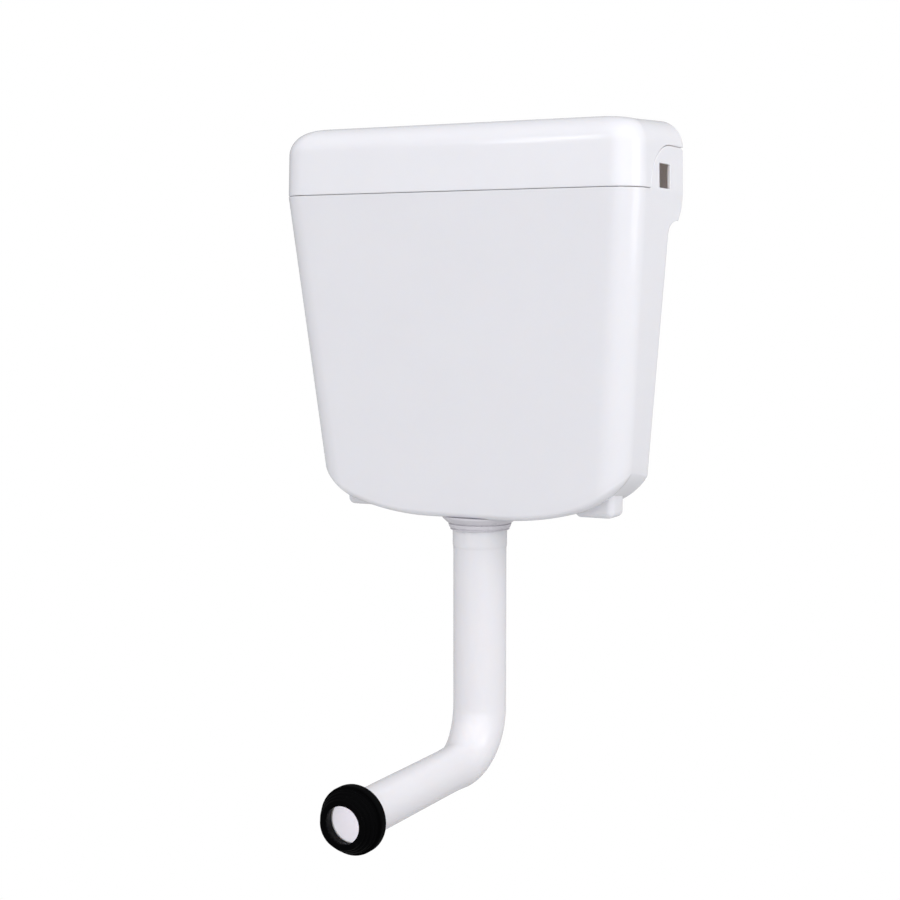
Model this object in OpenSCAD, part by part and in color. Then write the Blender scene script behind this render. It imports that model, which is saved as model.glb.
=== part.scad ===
// Low-level wall-hung flushing cistern with its flush bend and pan connector.
// The frame's origin is on the wall plane, midway between the two wall screws.
// +X is the viewer's right, +Y points into the wall and +Z is up.

/* [Tank] */
// Width of the tank at the lid seam
body_w = 358; // [340:1:400]
// Depth of the tank at the lid seam, from wall to front face
body_d = 119; // [116:1:130]
// Height of the tank from the lid seam to its lowest point
body_h = 298; // [280:1:320]
// Thickness of the tank walls
wall = 3; // [2.4:0.1:3.6]
// Thickness of the tank floor
floor_t = 3; // [2.5:0.1:4]
// Inward lean of each side wall, in degrees
side_draft = 5; // [4:0.1:5.5]
// Depth of the tank at its lowest point, from wall to front face
bottom_d = 86.6; // [86:0.2:96]
// Radius of the two upright front corners
front_corner_r = 26; // [18:1:32]
// Radius of the two upright back corners, below the flange
back_corner_r = 8; // [6:1:10]
// Space between the wall and the tank's back, below the flange
wall_gap = 23; // [19:0.5:24]
// How far the back wall comes nearer to the wall between flange and floor
back_lean = 5; // [3:0.5:6]
// How far the wall flange reaches down below the seam
flange_drop = 25; // [18:1:30]
// Rise of the bottom edge from the middle to the sides
bow_rise = 20; // [10:1:22]
// Half width of the level middle of the bottom
bow_flat = 45; // [40:1:60]
// Radius of the bottom edge along the front
front_round = 6; // [4:0.5:7]
// Radius of the bottom edge where the front meets its corners
front_round_end = 14; // [8:0.5:16]
// Reach of the bottom edge's rounding along the back
back_round = 5; // [4:0.5:6]
// Radius of the bottom edge at the front end of each side
side_round_front = 28; // [20:1:30]
// Radius of the bottom edge at the back end of each side
side_round_back = 22; // [18:1:30]
// Height of the side ears and back wall above the seam
ear_h = 40; // [36:1:44]
// Distance of the ears' front end from the wall
ear_d = 82; // [78:1:86]
// Length of the curved front end of the ears
ear_curve = 50; // [40:1:56]
// Width of the side opening for the supply pipe
opening_w = 27; // [24:0.5:30]
// Height of the side opening
opening_h = 21.5; // [18:0.5:24]
// Distance of the side opening's centre from the wall
opening_from_wall = 47.5; // [46:0.5:50]
// Height of the side opening's centre above the seam
opening_z = 12.5; // [12.5:0.5:14]
// Distance of each foot's outer side from the middle
foot_reach = 138; // [130:1:142]
// Width of each foot
foot_w = 38; // [30:1:44]
// Front-to-back size of each foot
foot_d = 30; // [24:1:34]
// Distance of the feet's back side from the wall
foot_from_wall = 34; // [32:1:38]
// Height of the feet's underside above the tank's lowest point
foot_lift = 4.5; // [3:0.5:6]

/* [Wall fixing] */
// Distance between the two wall slots
screw_spacing = 160; // [140:1:180]
// Height of the wall slots above the seam
screw_z = 24; // [20:1:28]
// Half the height of a wall slot
slot_r = 4; // [3:0.1:5]
// Length of a wall slot from end to end
slot_length = 16; // [12:0.5:20]

/* [Lid] */
// Height of the lid's top above the seam, along the wall and round the button
lid_h = 65; // [64:0.5:70]
// Height of the lid's front edge above the seam, where its rounding ends
lid_front_h = 62.5; // [61:0.5:63.5]
// Fall of that edge from the front's middle to the front corners
lid_corner_fall = 1; // [0:0.2:1.6]
// Thickness of the lid
lid_wall = 2.5; // [2:0.1:3]
// Width of the seam between lid and tank
lid_gap = 0.6; // [0.4:0.1:1]
// Inward reach of the rounding along the lid's front
lid_front_in = 26; // [20:1:30]
// Height of the rounding along the lid's front
lid_front_up = 22; // [18:0.5:23]
// Inward reach of the rounding along the lid's sides
lid_side_in = 21; // [16:1:26]
// Height of the rounding along the lid's sides and back
lid_side_up = 24; // [20:0.5:25]
// Distance of each front clip from the lid's middle
clip_x = 90; // [60:1:120]

/* [Flush button] */
// Radius of the push button
button_r = 21; // [20:0.5:23]
// Travel of the push button
button_travel = 8; // [6:0.5:8.5]
// Radius of the bezel's rim
bezel_r = 29; // [27.5:0.5:32]
// Depth of the bezel's well below its rim
bezel_depth = 20; // [19:0.5:22]
// Radius of the push rod
rod_r = 2; // [1.5:0.1:2.5]
// Outer radius of the return spring
spring_r = 9; // [8:0.5:10]
// Number of turns of the return spring
spring_turns = 5; // [3:1:6]
// Radius of the return spring's wire
spring_wire_r = 0.7; // [0.5:0.1:0.8]

/* [Flush valve] */
// Distance of the outlet from the wall
outlet_from_wall = 53; // [52:0.5:54]
// Radius of the thread on the valve's outlet
thread_r = 23.9; // [22.5:0.1:24.2]
// Radius of the outlet's bore
outlet_bore_r = 19; // [17:0.5:20]
// Radius of the tail that the flush pipe slides over
tail_r = 22.8; // [22:0.1:22.9]
// Length of that tail below the outlet nut
tail_length = 28; // [20:1:34]
// Thickness of the rubber gasket under that flange
gasket_t = 3; // [2:0.5:4]
// Radius of the overflow tube
overflow_r = 11; // [9.5:0.5:11.5]
// Distance of the overflow tube's top below the seam
overflow_drop = 56; // [56:1:64]
// Height of the basket between the flange and the tower
basket_h = 58; // [54:1:64]
// Distance of the rocker's pivot below the seam
pivot_drop = 20; // [19:0.5:22]
// Length of the rocker's arm under the push rod
push_arm = 16; // [15:0.5:17]
// Length of the rocker's arm under the lift link
lift_arm = 20; // [19:0.5:21]
// Length of the valve float
valve_float_h = 34; // [26:1:37]

/* [Outlet nut] */
// Radius of the nut's flared upper end
nut_top_r = 36; // [34:0.5:36.5]
// Radius of the nut's lower end
nut_foot_r = 28; // [27:0.5:29]
// Height of the nut
nut_h = 13; // [11:0.5:15]

/* [Flush pipe] */
// Outer radius of the upright leg
pipe_r = 25; // [24.8:0.1:26]
// Outer radius of the level leg
pipe_low_r = 20; // [19:0.1:21]
// Wall thickness of the pipe
pipe_wall = 1.8; // [1.5:0.1:1.9]
// Radius of the bend's centre line
bend_r = 48; // [44:1:60]
// Height of the outlet nut's underside above the level leg's axis
upright_length = 216.5; // [150:1:300]
// Length of the level leg from the upright leg's axis to its open end
level_length = 241; // [180:1:320]
// Length of the cone between the bend and the level leg
taper_length = 24; // [10:1:40]
// Extra radius of the widened top end
socket_swell = 0.6; // [0.3:0.1:1]
// Length of the widened top end
socket_length = 22; // [16:1:26]

/* [Pan connector] */
// Outer radius of the rubber flange
connector_r = 29.5; // [28.5:0.5:32]
// Length of the rubber flange
connector_flange = 8.5; // [7:0.5:12]
// Radius of the nose where it enters the pan
nose_r = 27; // [26:0.1:27.5]
// Length of the nose in front of the flange
nose_length = 15; // [14:0.5:20]
// Radius of the nose's tip
nose_tip_r = 20.5; // [20:0.5:22]
// Radius of the mouth
mouth_r = 16; // [15:0.5:17]
// Length of the pipe's end inside the connector
pipe_seat = 7; // [5:0.5:8]

/* [Fill valve] */
// Distance of the fill valve from the tank's right side
fill_inset = 93; // [90:1:100]
// Radius of the inlet thread
inlet_r = 10.4; // [9.8:0.1:10.5]
// Radius of the inlet bore
inlet_bore_r = 5; // [4:0.5:6]
// Length of the inlet tail beyond the bracket
inlet_reach = 20; // [16:1:24]
// Radius of the riser that the float slides on
riser_r = 7.5; // [7:0.5:8]
// Radius of the float cup
float_r = 19.5; // [17:0.5:20]
// Height of the float cup
float_h = 44; // [36:1:50]
// Travel of the float cup
float_travel = 14; // [10:0.5:15]
// Half the length of the float arm
arm_half = 16; // [15:0.5:17]
// Distance of the float cup's top below the seam, when it hangs empty
float_drop = 66; // [60:1:76]

/* [Fit] */
// Running clearance on a hinge pin's radius
pin_clearance = 0.06; // [0.03:0.01:0.09]
// Gap between pieces that slide or lie beside each other
slide_gap = 0.3; // [0.2:0.05:0.4]

/* [Hidden] */
$fn = 64;

white = "whitesmoke";
rubber = "#1c1c1e";
inner_white = "gainsboro";
inner_blue = "lightsteelblue";
steel = "silver";

// Steps along the shells' outlines
line_steps = 6;
corner_steps = 6;
side_steps = 3;
round_steps = 6;

// Cuts run this far past the faces that they open
over = 1;
// Play on the radius of pieces that are glued or pressed together
seat_play = 0.05;
// Play on the radius of a nut or washer on its thread
thread_play = 0.1;
// Play on the radius of a pin in the holes that hold it
pin_play = 0.02;

half_w = body_w / 2;
front_draft = atan((body_d - bottom_d) / body_h);
floor_z = -body_h + floor_t;
foot_half_w = half_w - (body_h - bow_rise) * tan(side_draft);
lid_draft = 1;

// Outline stations of one half, from the front's middle round to the back's middle:
// zone 0 front line, 1 front corner, 2 side, 3 back corner, 4 back line
stations = concat(
    [for (k = [0:line_steps]) [0, k / line_steps]],
    [for (k = [1:corner_steps]) [1, k / corner_steps]],
    [for (k = [1:side_steps]) [2, k / (side_steps + 1)]],
    [for (k = [0:corner_steps - 1]) [3, k / corner_steps]],
    [for (k = [0:line_steps]) [4, 1 - k / line_steps]]);
half_count = len(stations);
ring_count = 2 * half_count - 2;

// A value that runs from the front line's to the back line's round the outline
function around(s, front, side_front, side_back, back) =
    s[0] == 0 ? front
    : s[0] == 1 ? front + (side_front - front) * s[1]
    : s[0] == 2 ? side_front + (side_back - side_front) * s[1]
    : s[0] == 3 ? side_back + (back - side_back) * s[1]
    : back;

// A rounded rectangle's point at a station, for a half width, two ends and two corner radii
function outline_x(s, half, rf, rb) =
    s[0] == 0 ? (half - rf) * s[1]
    : s[0] == 1 ? half - rf + rf * sin(90 * s[1])
    : s[0] == 2 ? half
    : s[0] == 3 ? half - rb + rb * cos(90 * s[1])
    : (half - rb) * s[1];
function outline_y(s, front, back, rf, rb) =
    s[0] == 0 ? front
    : s[0] == 1 ? front + rf - rf * cos(90 * s[1])
    : s[0] == 2 ? front + rf + (back - rb - front - rf) * s[1]
    : s[0] == 3 ? back - rb + rb * sin(90 * s[1])
    : back;

// A closed solid from rings of half outlines, from the top down. The other half is mirrored. The
// first and last rings are closed by strips from front to back, and by a fan at each side.
module ringed_solid(rings) {
    last = len(rings) - 1;
    back_turn = half_count - 1 - line_steps;
    function middle(r, side) = let (m = (r[line_steps] + r[back_turn]) / 2) [side * m.x, m.y, m.z];
    points = concat(
        [for (r = rings) each concat(r, [for (k = [half_count - 2:-1:1]) [-r[k].x, r[k].y, r[k].z]])],
        [for (r = [rings[0], rings[last]], side = [1, -1]) middle(r, side)]);
    function at(level, k) = level * ring_count + (k + ring_count) % ring_count;
    function flipped(faces) = [for (f = faces) [f[2], f[1], f[0]]];
    function cap(level, side, m) = concat(
        [for (k = [0:line_steps - 2])
            let (a = at(level, side * k), b = at(level, side * (k + 1)),
                c = at(level, side * (half_count - 2 - k)), d = at(level, side * (half_count - 1 - k)))
            each [[a, d, c], [a, c, b]]],
        let (a = at(level, side * (line_steps - 1)), b = at(level, side * line_steps),
            c = at(level, side * back_turn), d = at(level, side * (back_turn + 1)))
        [[a, m, b], [a, d, m], [d, c, m]],
        [for (k = [line_steps:back_turn - 1]) [at(level, side * k), m, at(level, side * (k + 1))]]);
    walls = [for (v = [0:last - 1], k = [0:ring_count - 1])
        each [[at(v, k), at(v, k + 1), at(v + 1, k + 1)], [at(v, k), at(v + 1, k + 1), at(v + 1, k)]]];
    extra = len(rings) * ring_count;
    polyhedron(points, concat(walls,
        cap(0, 1, extra), flipped(cap(0, -1, extra + 1)),
        flipped(cap(last, 1, extra + 2)), cap(last, -1, extra + 3)), convexity = 6);
}

// Tank shape
function front_y(z) = -body_d - z * tan(front_draft);
function side_x(z) = half_w + z * tan(side_draft);
function bottom_z(x) = -body_h + bow_rise * pow(max(0, abs(x) - bow_flat) / (foot_half_w - bow_flat), 2);

// The sides' bottom rounding is flatter than a circle, by this power of sine and cosine
side_round_power = 1.5;
// The front's bottom rounding grows towards the corners by this power of the way
front_round_power = 4;

// The back's profile below the flange: a hollow curve, then a straight leaning wall
shelf_curve = 22;
shelf_end_z = -flange_drop - shelf_curve * 0.6;
function back_y(z, inset) =
    let (zz = z - inset)
    zz >= -flange_drop ? 0
    : zz >= shelf_end_z
        ? -wall_gap * sin(90 * pow((-flange_drop - zz) / (shelf_curve * 0.6), 0.5))
        : -wall_gap + back_lean * (shelf_end_z - zz) / (body_h + shelf_end_z);

// One half outline of the tank at a level: [0, height] is a level ring, [1, share] runs down
// to the start of the bottom's rounding, and [2, angle] runs round it. The inset is the wall.
function tank_ring(level, inset) = [for (s = stations)
    let (front_radius = front_round - inset * 0.9
            + (front_round_end - front_round) * (s[0] == 0 ? pow(s[1], front_round_power) : 1),
        back_radius = side_round_back - inset * 0.9,
        radius = around(s, front_radius, side_round_front - inset * 0.9, back_radius, back_radius),
        power = around(s, 1, side_round_power, side_round_power, side_round_power),
        x0 = outline_x(s, foot_half_w, front_corner_r, back_corner_r),
        base = bottom_z(x0) + inset * floor_t / wall,
        straight_top = shelf_end_z - wall,
        turn = level[0] == 2 ? 1 - pow(cos(level[1]), power) : 0,
        z = level[0] == 0 ? level[1]
            : level[0] == 1 ? straight_top + (base + radius - straight_top) * level[1]
            : base + radius * (1 - pow(sin(level[1]), power)),
        rf = (front_corner_r - inset) * (1 - 0.5 * turn),
        rb = z > -flange_drop ? 1 : (back_corner_r - inset) * (1 - 0.5 * turn),
        side_in = (s[0] < 2 ? side_round_front
            : s[0] > 2 ? side_round_back
            : side_round_front + (side_round_back - side_round_front) * s[1]) - inset * 0.9,
        half = side_x(z) - inset - side_in * turn,
        front = front_y(z) + inset + front_radius * turn,
        back = back_y(z, inset) - inset - (back_round - inset * 0.9) * turn)
    [outline_x(s, half, rf, rb), outline_y(s, front, back, rf, rb), z]];

shelf_levels = [0, 0.06, 0.25, 0.6, 1];
function tank_rings(top, inset) = [
    for (level = concat(
        [[0, top], [0, -flange_drop / 2 + inset]],
        [for (q = shelf_levels) [0, -flange_drop + (shelf_end_z + flange_drop) * q + inset]],
        [[1, 0], [1, 0.5], [1, 1]],
        [for (k = [1:round_steps]) [2, 90 * k / round_steps]]))
    tank_ring(level, inset)];

// Side view of an ear, grown by a margin
ear_steps = 8;
ear_chamfer = 5;
ear_root = 0.5;
function ear_outline(grow, low) = concat(
    [[0, low], [-ear_d - grow, low]],
    [for (k = [0:ear_steps])
        [-ear_d + ear_curve - (ear_curve + grow) * cos(90 * k / ear_steps),
            (ear_h + grow) * sin(90 * k / ear_steps)]],
    [[-ear_chamfer, ear_h + grow], [0, ear_h + grow - ear_chamfer / 2]]);

// The right ear's own frame: x = 0 on its outer face, which leans with the lid
module on_ear() {
    translate([half_w, 0, 0])
        rotate([0, -lid_draft, 0])
            children();
}

module ear_plate(thickness, grow, low, outward) {
    on_ear()
        translate([-thickness, 0, 0])
            rotate([90, 0, 90])
                linear_extrude(thickness + outward)
                    polygon(ear_outline(grow, low));
}

module at_seam() {
    translate([0, 0, -screw_z])
        children();
}

module both_sides() {
    children();
    mirror([1, 0, 0])
        children();
}

// A round bar along Y, and one along X, from a start point
module bar_y(r, length) {
    rotate([-90, 0, 0])
        cylinder(r = r, h = length);
}

module bar_x(r, length) {
    rotate([0, 90, 0])
        cylinder(r = r, h = length);
}

module tube(outer, inner, length) {
    difference() {
        cylinder(r = outer, h = length);
        translate([0, 0, -over])
            cylinder(r = inner, h = length + 2 * over);
    }
}

// The tank
foot_round = 6;
foot_clearance = 1;
foot_bottom_z = -body_h + foot_lift;

module foot() {
    $fn = 24;
    hull()
        for (x = [foot_reach - foot_w + foot_round, foot_reach - foot_round],
            y = [-foot_from_wall - foot_d + foot_round, -foot_from_wall - foot_round]) {
            translate([x, y, foot_bottom_z + foot_round])
                sphere(r = foot_round);
            translate([x, y, foot_bottom_z + foot_round])
                cylinder(r = foot_round, h = foot_w / 2);
        }
}

module foot_pocket() {
    margin = wall + foot_clearance;
    translate([foot_reach - foot_w + margin, -foot_from_wall - foot_d + margin, foot_bottom_z + wall])
        cube([foot_w - 2 * margin, foot_d - 2 * margin, foot_w / 2]);
}

module wall_slot() {
    shift = slot_length / 2 - slot_r;
    for (x = [-shift, shift])
        translate([x, -wall - over, 0])
            bar_y(slot_r, wall + 2 * over);
    translate([-shift, -wall - over, -slot_r])
        cube([2 * shift, wall + 2 * over, 2 * slot_r]);
}

module side_opening(reach) {
    on_ear()
        translate([-wall - reach, -opening_from_wall - opening_w / 2, opening_z - opening_h / 2])
            cube([wall + 2 * reach, opening_w, opening_h]);
}

hole_play = 0.4;
floor_hole_r = thread_r + hole_play;

module tank() {
    color(white)
        at_seam()
            difference() {
                union() {
                    ringed_solid(tank_rings(0, 0));
                    both_sides() {
                        ear_plate(wall, 0, -ear_root, 0);
                        foot();
                    }
                    translate([-half_w + wall / 2, -wall, -ear_root])
                        cube([body_w - wall, wall, ear_h + ear_root - ear_chamfer / 2]);
                }
                ringed_solid(tank_rings(over / 10, wall));
                both_sides() {
                    foot_pocket();
                    side_opening(3);
                    translate([screw_spacing / 2, 0, screw_z])
                        wall_slot();
                }
                translate([0, -outlet_from_wall, -body_h - over])
                    cylinder(r = floor_hole_r, h = floor_t + 2 * over);
            }
}

// Blanking plug in the left opening
plug_rim = 3;
plug_rim_low = 1.4;
plug_rim_t = 1.6;
plug_reach = 6;
plug_wall = 1.6;

module side_plug() {
    w = opening_w - 2 * slide_gap;
    h = opening_h - 2 * slide_gap;
    low_z = opening_z - opening_h / 2;
    depth = wall + plug_reach;
    rim = [plug_rim_t, opening_w + 2 * plug_rim, opening_h + plug_rim_low + plug_rim];
    color(white)
        at_seam()
            mirror([1, 0, 0])
                on_ear()
                    translate([0, -opening_from_wall, 0])
                        difference() {
                            union() {
                                translate([0, -opening_w / 2 - plug_rim, low_z - plug_rim_low])
                                    cube(rim);
                                translate([-depth, -w / 2, low_z + slide_gap])
                                    cube([depth + plug_rim_t / 2, w, h]);
                            }
                            translate([-depth - over, -w / 2 + plug_wall, low_z + slide_gap + plug_wall])
                                cube([depth + over, w - 2 * plug_wall, h - 2 * plug_wall]);
                        }
}

// Lid shape: level rings up the skirt, then the rounding, then a slightly crowned top
lid_back_gap = 0.8;
lid_back_in = 3;
crown_steps = 3;
crown_reach = 0.8;
back_corner_low = 1;
back_corner_high = 2;
corner_narrowing = 0.3;
skirt_step = 12;
lid_mid_y = -body_d / 2;
// The lid's underside lies this far below the button's seat, where the seat's boss joins it
boss_bite = 0.8;
function lid_top(s) = around(s, lid_front_h, lid_front_h - lid_corner_fall, lid_h, lid_h);
function lid_ring(level, inset) = [for (s = stations)
    let (angle = level[0] == 0 ? 0 : level[0] == 1 ? level[1] : 90,
        up = around(s, lid_front_up, lid_side_up, lid_side_up, lid_side_up) - inset * 0.9,
        base = lid_top(s) - inset - up,
        middle_h = lid_h - (inset > 0 ? boss_bite : 0),
        share = level[0] == 2 ? level[1] : 0,
        ease = share * share * (3 - 2 * share),
        z = level[0] == 0 ? level[1] : base + up * sin(angle) + (middle_h - lid_top(s)) * ease,
        turn = 1 - cos(angle),
        corner = (front_corner_r - inset) * (1 - corner_narrowing * turn),
        half = half_w - min(z, lid_front_h) * tan(lid_draft) - inset - (lid_side_in - inset * 0.9) * turn,
        front = -body_d + min(z, lid_front_h) * tan(lid_draft) + inset + (lid_front_in - inset * 0.9) * turn,
        back = -lid_back_gap - inset - (lid_back_in - inset * 0.9) * turn,
        back_corner = back_corner_low + (back_corner_high - back_corner_low) * turn,
        x = outline_x(s, half, corner, back_corner),
        y = outline_y(s, front, back, corner, back_corner))
    [x * (1 - crown_reach * share), lid_mid_y + (y - lid_mid_y) * (1 - crown_reach * share), z]];

function lid_rings(low, inset) = [
    for (level = concat(
        [for (k = [crown_steps:-1:1]) [2, k / crown_steps]],
        [for (k = [round_steps:-1:0]) [1, 90 * k / round_steps]],
        [[0, lid_gap + skirt_step], [0, low]]))
    lid_ring(level, inset)];

// The inner lip that drops inside the tank's rim, and the front clips
lip_t = 2;
lip_drop = 5;
lip_rise = 8;
clip_w = 16;
clip_drop = 12;
ear_margin = 1;
lip_front_y = front_y(-lip_drop) + wall + slide_gap;
lip_side_x = side_x(-lip_drop) - wall - slide_gap;

module lid_lip() {
    lip_end = half_w - front_corner_r;
    translate([-lip_end, lip_front_y, -lip_drop])
        cube([2 * lip_end, lip_t, lip_drop + lip_rise]);
    translate([-lip_end, -body_d + lid_wall / 2, lid_gap])
        cube([2 * lip_end, lip_front_y + lip_t + body_d - lid_wall / 2, lip_rise - lid_gap]);
    side_lip = body_d - front_corner_r - ear_d - 3 * ear_margin;
    both_sides() {
        translate([lip_side_x - lip_t, -body_d + front_corner_r, -lip_drop])
            cube([lip_t, side_lip, lip_drop + lip_rise]);
        translate([lip_side_x - lip_t, -body_d + front_corner_r, lid_gap])
            cube([half_w - lid_wall / 2 - lip_side_x + lip_t, side_lip, lip_rise - lid_gap]);
        translate([clip_x - clip_w / 2, front_y(-clip_drop) + wall + slide_gap, -clip_drop])
            cube([clip_w, lip_t, clip_drop]);
    }
}

// The bezel's seat in the lid
button_y = -outlet_from_wall;
seat_drop = 2.5;
seat_z = lid_h - seat_drop;
boss_t = 4.5;
boss_r = bezel_r + 3;
boss_z = seat_z - boss_t;
neck_wall = 2.6;
button_gap = 0.4;
edge_chamfer = 1;
neck_r = button_r + button_gap + neck_wall;
rim_h = 1.4;
rim_z = seat_z + rim_h;
well_floor_t = 2;
well_z = rim_z - bezel_depth;
bezel_hole_r = neck_r + slide_gap;

module lid() {
    color(white)
        at_seam()
            difference() {
                union() {
                    difference() {
                        ringed_solid(lid_rings(lid_gap, 0));
                        ringed_solid(lid_rings(lid_gap - over, lid_wall));
                    }
                    lid_lip();
                    translate([0, button_y, boss_z])
                        cylinder(r = boss_r, h = boss_t);
                }
                both_sides()
                    ear_plate(wall + ear_margin, lid_gap, -lip_drop - over, 5 * over);
                translate([-half_w - over, -wall - lid_gap, -over])
                    cube([body_w + 2 * over, wall + lid_gap + over, ear_h + lid_gap + over]);
                translate([0, button_y, boss_z - over])
                    cylinder(r = bezel_hole_r, h = boss_t + 4 * over);
                translate([0, button_y, seat_z])
                    cylinder(r = bezel_r + slide_gap, h = 4 * over);
            }
}

// Push button
module at_button() {
    at_seam()
        translate([0, button_y, 0])
            children();
}

module button_bezel() {
    color(white)
        at_button()
            rotate_extrude()
                polygon([
                    [rod_r + button_gap, well_z], [neck_r, well_z], [neck_r, seat_z], [bezel_r, seat_z],
                    [bezel_r, rim_z - edge_chamfer], [bezel_r - edge_chamfer, rim_z],
                    [button_r + button_gap, rim_z], [button_r + button_gap, well_z + well_floor_t],
                    [rod_r + button_gap, well_z + well_floor_t]]);
}

bezel_nut_h = 6;
bezel_nut_w = 4.5;

module bezel_nut() {
    color(inner_white)
        at_button()
            translate([0, 0, boss_z - bezel_nut_h])
                tube(neck_r + bezel_nut_w, neck_r + seat_play, bezel_nut_h);
}

button_wall = 2;
well_clearance = 1;
button_h = bezel_depth - well_floor_t - button_travel - well_clearance;
button_floor_z = rim_z - button_wall;
hub_r = 4.5;
hub_h = 7;

module flush_button() {
    color(white)
        at_button()
            difference() {
                rotate_extrude()
                    polygon([
                        [0, rim_z], [button_r - edge_chamfer, rim_z], [button_r, rim_z - edge_chamfer],
                        [button_r, rim_z - button_h], [button_r - button_wall, rim_z - button_h],
                        [button_r - button_wall, button_floor_z], [hub_r, button_floor_z],
                        [hub_r, button_floor_z - hub_h], [0, button_floor_z - hub_h]]);
                translate([0, 0, button_floor_z - hub_h - over])
                    cylinder(r = rod_r + seat_play, h = hub_h + over);
            }
}

// Rocker positions: it rests half its swing up at the push end
swing = button_travel / push_arm * 180 / PI;
rest_tilt = swing / 2;
pivot_x = push_arm;
pad_r = 3;
rod_tip_z = -pivot_drop + push_arm * sin(rest_tilt) + pad_r + slide_gap;
rod_stop_r = 4;
rod_stop_t = 1.5;

module push_rod() {
    color(inner_white)
        at_button() {
            translate([0, 0, rod_tip_z])
                cylinder(r = rod_r, h = button_floor_z - thread_play - rod_tip_z);
            translate([0, 0, well_z - slide_gap - rod_stop_t])
                cylinder(r = rod_stop_r, h = rod_stop_t);
        }
}

// A round wire wound into an open spring, from low to high
spring_ring = 6;
spring_turn_steps = 20;
function coil_point(k, r, wire, low, high, turns) =
    let (a = 360 * k / spring_turn_steps, count = turns * spring_turn_steps)
    [r * cos(a), r * sin(a), low + wire + (high - low - 2 * wire) * k / count];
module spring(r, wire, low, high, turns) {
    count = turns * spring_turn_steps;
    points = [for (k = [0:count])
        let (a = 360 * k / spring_turn_steps, z = coil_point(k, r, wire, low, high, turns).z)
        for (j = [0:spring_ring - 1])
            let (b = 360 * j / spring_ring, q = r + wire * cos(b))
            [q * cos(a), q * sin(a), z + wire * sin(b)]];
    walls = [for (k = [0:count - 1], j = [0:spring_ring - 1])
        let (a = k * spring_ring + j, b = k * spring_ring + (j + 1) % spring_ring)
        each [[a, b + spring_ring, b], [a, a + spring_ring, b + spring_ring]]];
    start_cap = [for (j = [1:spring_ring - 2]) [0, j, j + 1]];
    last = count * spring_ring;
    end_cap = [for (j = [1:spring_ring - 2]) [last, last + j + 1, last + j]];
    polyhedron(points, concat(walls, start_cap, end_cap), convexity = 8);
}

spring_low = well_z + well_floor_t + thread_play;
spring_high = button_floor_z - thread_play;
spring_mid_r = spring_r - spring_wire_r;

// The least gap between one turn and the next, measured on the wire's centre points
spring_points = [for (k = [0:spring_turns * spring_turn_steps])
    coil_point(k, spring_mid_r, spring_wire_r, spring_low, spring_high, spring_turns)];
spring_gaps = [for (a = [0:spring_turn_steps],
    b = [a + spring_turn_steps / 2:len(spring_points) - 1]) norm(spring_points[a] - spring_points[b])];
echo(spring_least_gap = min(spring_gaps) - 2 * spring_wire_r);

module button_spring() {
    color(steel)
        at_button()
            spring(spring_mid_r, spring_wire_r, spring_low, spring_high, spring_turns);
}

// Flush valve
module at_outlet() {
    at_seam()
        translate([0, -outlet_from_wall, 0])
            children();
}

base_flange_w = 4.6;
base_flange_r = thread_r + base_flange_w;
base_flange_t = 4;
base_z = floor_z + gasket_t;
flange_top = base_z + base_flange_t;
seat_lip = 2;
seat_wall = 2.5;
seat_outer_r = outlet_bore_r + seat_wall;
basket_inset = 0.5;
basket_r = base_flange_r - basket_inset;
basket_wall = 2.5;
basket_top = flange_top + basket_h;
window_w = 26;
window_h = 24;
nut_z = -body_h - thread_play;
nut_foot_z = -body_h - nut_h;
socket_cover = 5.7;
socket_top = nut_foot_z + socket_cover;
thread_end = socket_top + 0.5;
weld = 0.1;
tail_end = nut_foot_z - tail_length;

module valve_base() {
    color(inner_white)
        at_outlet()
            difference() {
                union() {
                    translate([0, 0, base_z])
                        cylinder(r = base_flange_r, h = base_flange_t);
                    translate([0, 0, thread_end])
                        cylinder(r = thread_r, h = base_z + weld - thread_end);
                    translate([0, 0, tail_end])
                        cylinder(r = tail_r, h = base_z - tail_end);
                    translate([0, 0, flange_top - weld])
                        cylinder(r = seat_outer_r, h = seat_lip + weld);
                    translate([0, 0, flange_top - weld])
                        difference() {
                            tube(basket_r, basket_r - basket_wall, basket_h + weld);
                            for (turn = [45, 135])
                                rotate([0, 0, turn])
                                    translate([-basket_r - over, -window_w / 2, weld])
                                        cube([2 * (basket_r + over), window_w, window_h]);
                        }
                }
                translate([0, 0, tail_end - over])
                    cylinder(r = outlet_bore_r, h = flange_top + seat_lip - tail_end + 2 * over);
            }
}

gasket_inset = 1.2;
module base_gasket() {
    color(rubber)
        at_outlet()
            translate([0, 0, floor_z])
                tube(base_flange_r - gasket_inset, thread_r + thread_play, gasket_t);
}

nut_thread_gap = 0.2;
collar_t = 2.8;
collar_lip = 1.1;
nut_lip_t = 2.4;
nut_rim_t = 2;
nut_waist_in = 5;
nut_step = 2;
nut_edge = 0.8;
socket_r = pipe_r + socket_swell;

module outlet_nut() {
    color(white)
        at_outlet()
            difference() {
                rotate_extrude()
                    polygon([
                        [0, nut_z], [nut_top_r, nut_z], [nut_top_r - edge_chamfer, nut_z - nut_rim_t],
                        [nut_top_r - nut_waist_in, nut_foot_z + nut_h / 2],
                        [nut_foot_r + nut_step, nut_foot_z + nut_h / 2 - nut_edge / 2],
                        [nut_foot_r, nut_foot_z + nut_edge], [nut_foot_r - nut_edge, nut_foot_z],
                        [0, nut_foot_z]]);
                translate([0, 0, socket_top + nut_thread_gap])
                    cylinder(r = thread_r + nut_thread_gap, h = nut_h);
                translate([0, 0, nut_foot_z + nut_lip_t])
                    cylinder(r = socket_r + collar_lip + nut_thread_gap,
                        h = socket_top + nut_thread_gap - nut_foot_z - nut_lip_t);
                translate([0, 0, nut_foot_z - over])
                    cylinder(r = socket_r + nut_thread_gap, h = nut_h);
            }
}

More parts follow.
